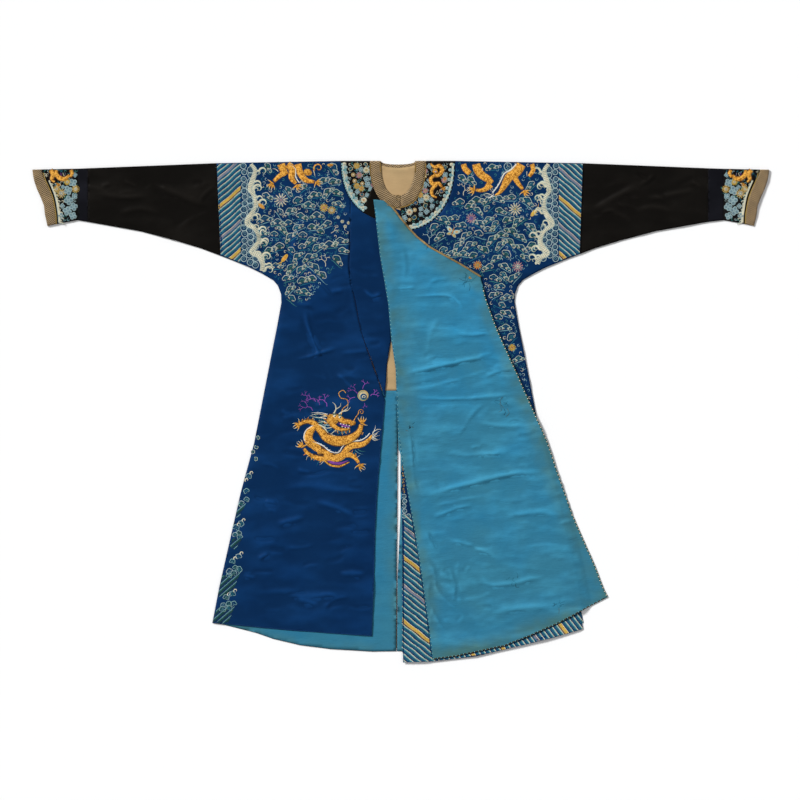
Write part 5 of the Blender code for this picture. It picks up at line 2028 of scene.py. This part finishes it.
for side, way, seam in (("left", 1, 925), ("right", -1, -909)):
    cuff = bpy.data.objects[f"cuff_{side}_satin"]
    cuff_work, cuff_gold = new_work(cuff), new_work(cuff)
    cuff_luck = random.Random(21)
    mouth = CUFF_LINES[side]
    crest = [
        (out - way * 9, down) for out, down in mouth[1:-1]
    ] + [(mouth[-1][0] - way * 9, mouth[-1][1] - 5)]
    ribbon(cuff_work, crest, (4.0, 6.0, 9.0, 9.0), (CREAM, CREAM, ICE), 0.5)
    for number, p in enumerate(rounded(crest, 8.5)):
        long = (7.0, 12.0)[number % 2] * (0.6 + 0.4 * number / 12)
        tip = p + Vector((-way * long, 3.0))
        ribbon(
            cuff_work, [p, tip, tip + Vector((way * 2, 4))], (4.0, 3.2, 1.0), (CREAM, CREAM, PALE),
            0.7, step=3.0
        )
    for past, down, size in CUFF_CLOVERS:
        clover(cuff_work, (seam + way * past, down), size, cuff_luck)
    for past, down, size in CUFF_FLOWERS:
        flower(
            cuff_work, (seam + way * past, down), size, cuff_luck.choice((YELLOW, STRAW)), CREAM,
            GREEN, cuff_luck
        )
    for line, widths in (
        (((78, 26), (70, 38), (74, 52), (66, 60)), (12, 14, 11, 5)),
        (((62, 26), (60, 40), (48, 50), (34, 50), (24, 40)), (8, 13, 14, 12, 6)),
        (((20, 26), (16, 36), (22, 46)), (9, 11, 6)),
    ):
        gold_limb(cuff_gold, [(seam + way * past, down) for past, down in line], widths, 1.2, 0.3)
    talons(cuff_gold, cuff_work, (seam + way * 56, 66), 1.6, 8)
    tufts(
        cuff_work, [(seam + way * past, 34) for past in (36, 42, 48)], 1.4, 14,
        (DOVE, CREAM, VIOLET), cuff_luck, 0.7, 1.8
    )
    field = [(seam, 24), (seam + way * 98, 24), (seam + way * 98, 182), (seam, 182)]
    taken = [
        (seam + way * past, down, size * 0.5) for past, down, size in CUFF_CLOVERS + CUFF_FLOWERS
    ]
    taken += [(p.x, p.y, 6) for p in rounded(crest, 5.0)] + [
        (seam + way * 68, 42, 12), (seam + way * 42, 46, 12)
    ]
    scattered(cuff_work, field, 8.5, 23, taken, curl)
    stitched(f"cuff_needlework_{side}", cuff_work, floss_silk)
    stitched(f"cuff_gold_{side}", cuff_gold, gold_thread)

# ---- Seams, piping and loose threads -------------------------------------------------------------
# Pressed seams where the pieces join, olive piping round the brocades, twisted piping along the
# overlap's sides and hem, and the loose threads, darns and small tears of a robe that has been
# worn.

shown_cloths = [
    bpy.data.objects[name]
    for name in (
        "overlap_lining_turquoise", "overlap_satin", "right_panel_satin", "left_panel_satin",
        "underlap_gore_satin"
    )
]
sleeve_cloths = [
    bpy.data.objects[f"{name}_{side}_{stuff}"]
    for side in ("right", "left")
    for name, stuff in (
        ("sleeve", "satin"), ("sleeve_strip", "satin"), ("cuff", "satin"), ("cuff_edge", "brocade")
    )
]
seams = new_work(*sleeve_cloths, collar_cloth, neckband_cloth, patch_cloth, *shown_cloths)
seams["reach"] = 1.8
SOOT = (0.006, 0.0052, 0.0048)
DEEP_NAVY = (0.0018, 0.012, 0.048)
SATIN_BLUE = (0.0035, 0.031, 0.108)
SEAMS = (
    (2.6, SOOT, ((-516, 7.5), (-505, 262))),
    (2.6, SOOT, ((526, 7.5), (517, 260))),
    (2.4, SOOT, ((-880, 23), (-880, 170))),
    (2.4, SOOT, ((-909, 24), (-909, 166))),
    (2.4, SOOT, ((880, 23), (880, 170))),
    (2.4, SOOT, ((925, 24), (925, 164))),
    (
        2.2, DEEP_NAVY,
        (
            (-132, 177), (-139, 295), (-131, 335), (-122, 398), (-102, 491), (-72, 584), (-46, 640),
            (-37, 672)
        )
    ),
    (2.0, BROWN, ((7.3, 101), (7.3, 131))),
    (
        3.0, SATIN_BLUE,
        ((-39, 682), (-46.5, 775), (-58.5, 912), (-66.5, 1048), (-69.5, 1184), (-75.5, 1347))
    ),
    (3.0, SATIN_BLUE, ((-75.5, 1347.5), (-307, 1331), (-524, 1310))),
    (2.4, shaded(OLIVE, 0.8), ((-4.6, 1010), (-4.6, 1383))),
)
for wide, colour, line in SEAMS:
    ribbon(seams, line, wide, colour, 0.35, step=5.0)
for side in ("left", "right"):
    ribbon(seams, CUFF_LINES[side], 2.6, (OLIVE, STRAW, OLIVE), 0.7, step=5.0)
for side, end in (("left", 1.40), ("right", 0.9)):
    ribbon(seams, collar_line(side, -7.0, 0.03, end), 1.6, DEEP_NAVY, 0.3, step=0)
NECK_PIPING = {"half_width": 79.0, "drop": 132.0}
NECK_INNER = {"half_width": 50.5, "drop": 101.0}
for ring in (NECK_PIPING, NECK_INNER):
    for way in (1, -1):
        line = [
            (
                way * ring["half_width"] * cos(a) ** COLLAR_POWER,
                ring["drop"] * sin(a) ** COLLAR_POWER
            )
            for a in np.linspace(0.04, 1.52, 30)
        ]
        kept = [p for p in line if off_flap(*p)]
        ribbon(seams, kept, 4.2, (BROWN, shaded(STRAW, 0.6), BROWN), 0.9, step=0)
stitched("seam_lines", seams, floss_silk)


PIPING_INSET = 1.2
FARTHEST_FELT = 400


def on_flap(place):
    """Whether a place lies on the turned overlap."""
    return flap_tree.ray_cast((*at(*place), 1.0), (0.0, 0.0, -1.0), 1.01)[0] is not None


def flap_edge(start, end, steps, inward):
    """Points just inside the turned overlap's edge, found by feeling inwards from outside it."""
    found = []
    for i in range(steps + 1):
        place = Vector(start).lerp(Vector(end), i / steps)
        for _ in range(FARTHEST_FELT):
            if on_flap(place):
                found.append(
                    (place.x + inward[0] * PIPING_INSET, place.y + inward[1] * PIPING_INSET)
                )
                break
            place = place + Vector(inward)
    return found


piping = new_work(flap_lining, overlap_cloth)
thread_luck = random.Random(91)
SIDE_EDGE = flap_edge((640, 345), (640, 1236), 70, (-1, 0))
HEM_EDGE = flap_edge((585, 1440), (100, 1440), 46, (0, -1))
FRONT_EDGE = flap_edge((-90, 125), (90, 1405), 90, (1, 0))
for edge, wide, tints in (
    (SIDE_EDGE, 3.2, (SOOT, GREEN, SOOT, CREAM)),
    (HEM_EDGE, 3.0, (SOOT, OLIVE, SOOT, PALE)),
    (FRONT_EDGE, 2.4, (TEAL, BLUE, TEAL, PALE)),
):
    line = rounded(edge, 3.0)
    for number in range(len(line) - 1):
        ribbon(piping, line[number : number + 2], wide, tints[number % len(tints)], 0.7, step=0)
for root, count, long in (
    ((204, 338), 12, 26), ((304, 693), 10, 24), ((80, 236), 8, 12), ((34, 755), 7, 9),
    ((330, 1190), 6, 16), ((452, 1262), 7, 14)
):
    for _ in range(count):
        start = Vector(root) + Vector((thread_luck.uniform(-14, 10), thread_luck.uniform(-10, 12)))
        heading = thread_luck.uniform(0, tau)
        run = toward(heading) * long * thread_luck.uniform(0.5, 1.1)
        bow = square_to(run) * thread_luck.uniform(-0.5, 0.5)
        tint = thread_luck.choice((SOOT, OLIVE, TEAL, shaded(TEAL, 0.5)))
        if on_flap(start + run):
            ribbon(piping, [start, start + run * 0.5 + bow, start + run], 0.9, tint, 0.5, step=3.0)
blob(piping, (34, 757), (5.0, 8.0), shaded(BLUE, 0.3), SOOT, 0.2, 0.15, sides=9, lobes=4, deep=0.2)
blob(piping, (204, 332), (10, 7), BROWN, STRAW, 0.4, 0.3, sides=9, lobes=3, deep=0.3)
stitched("piping_and_threads", piping, floss_silk)
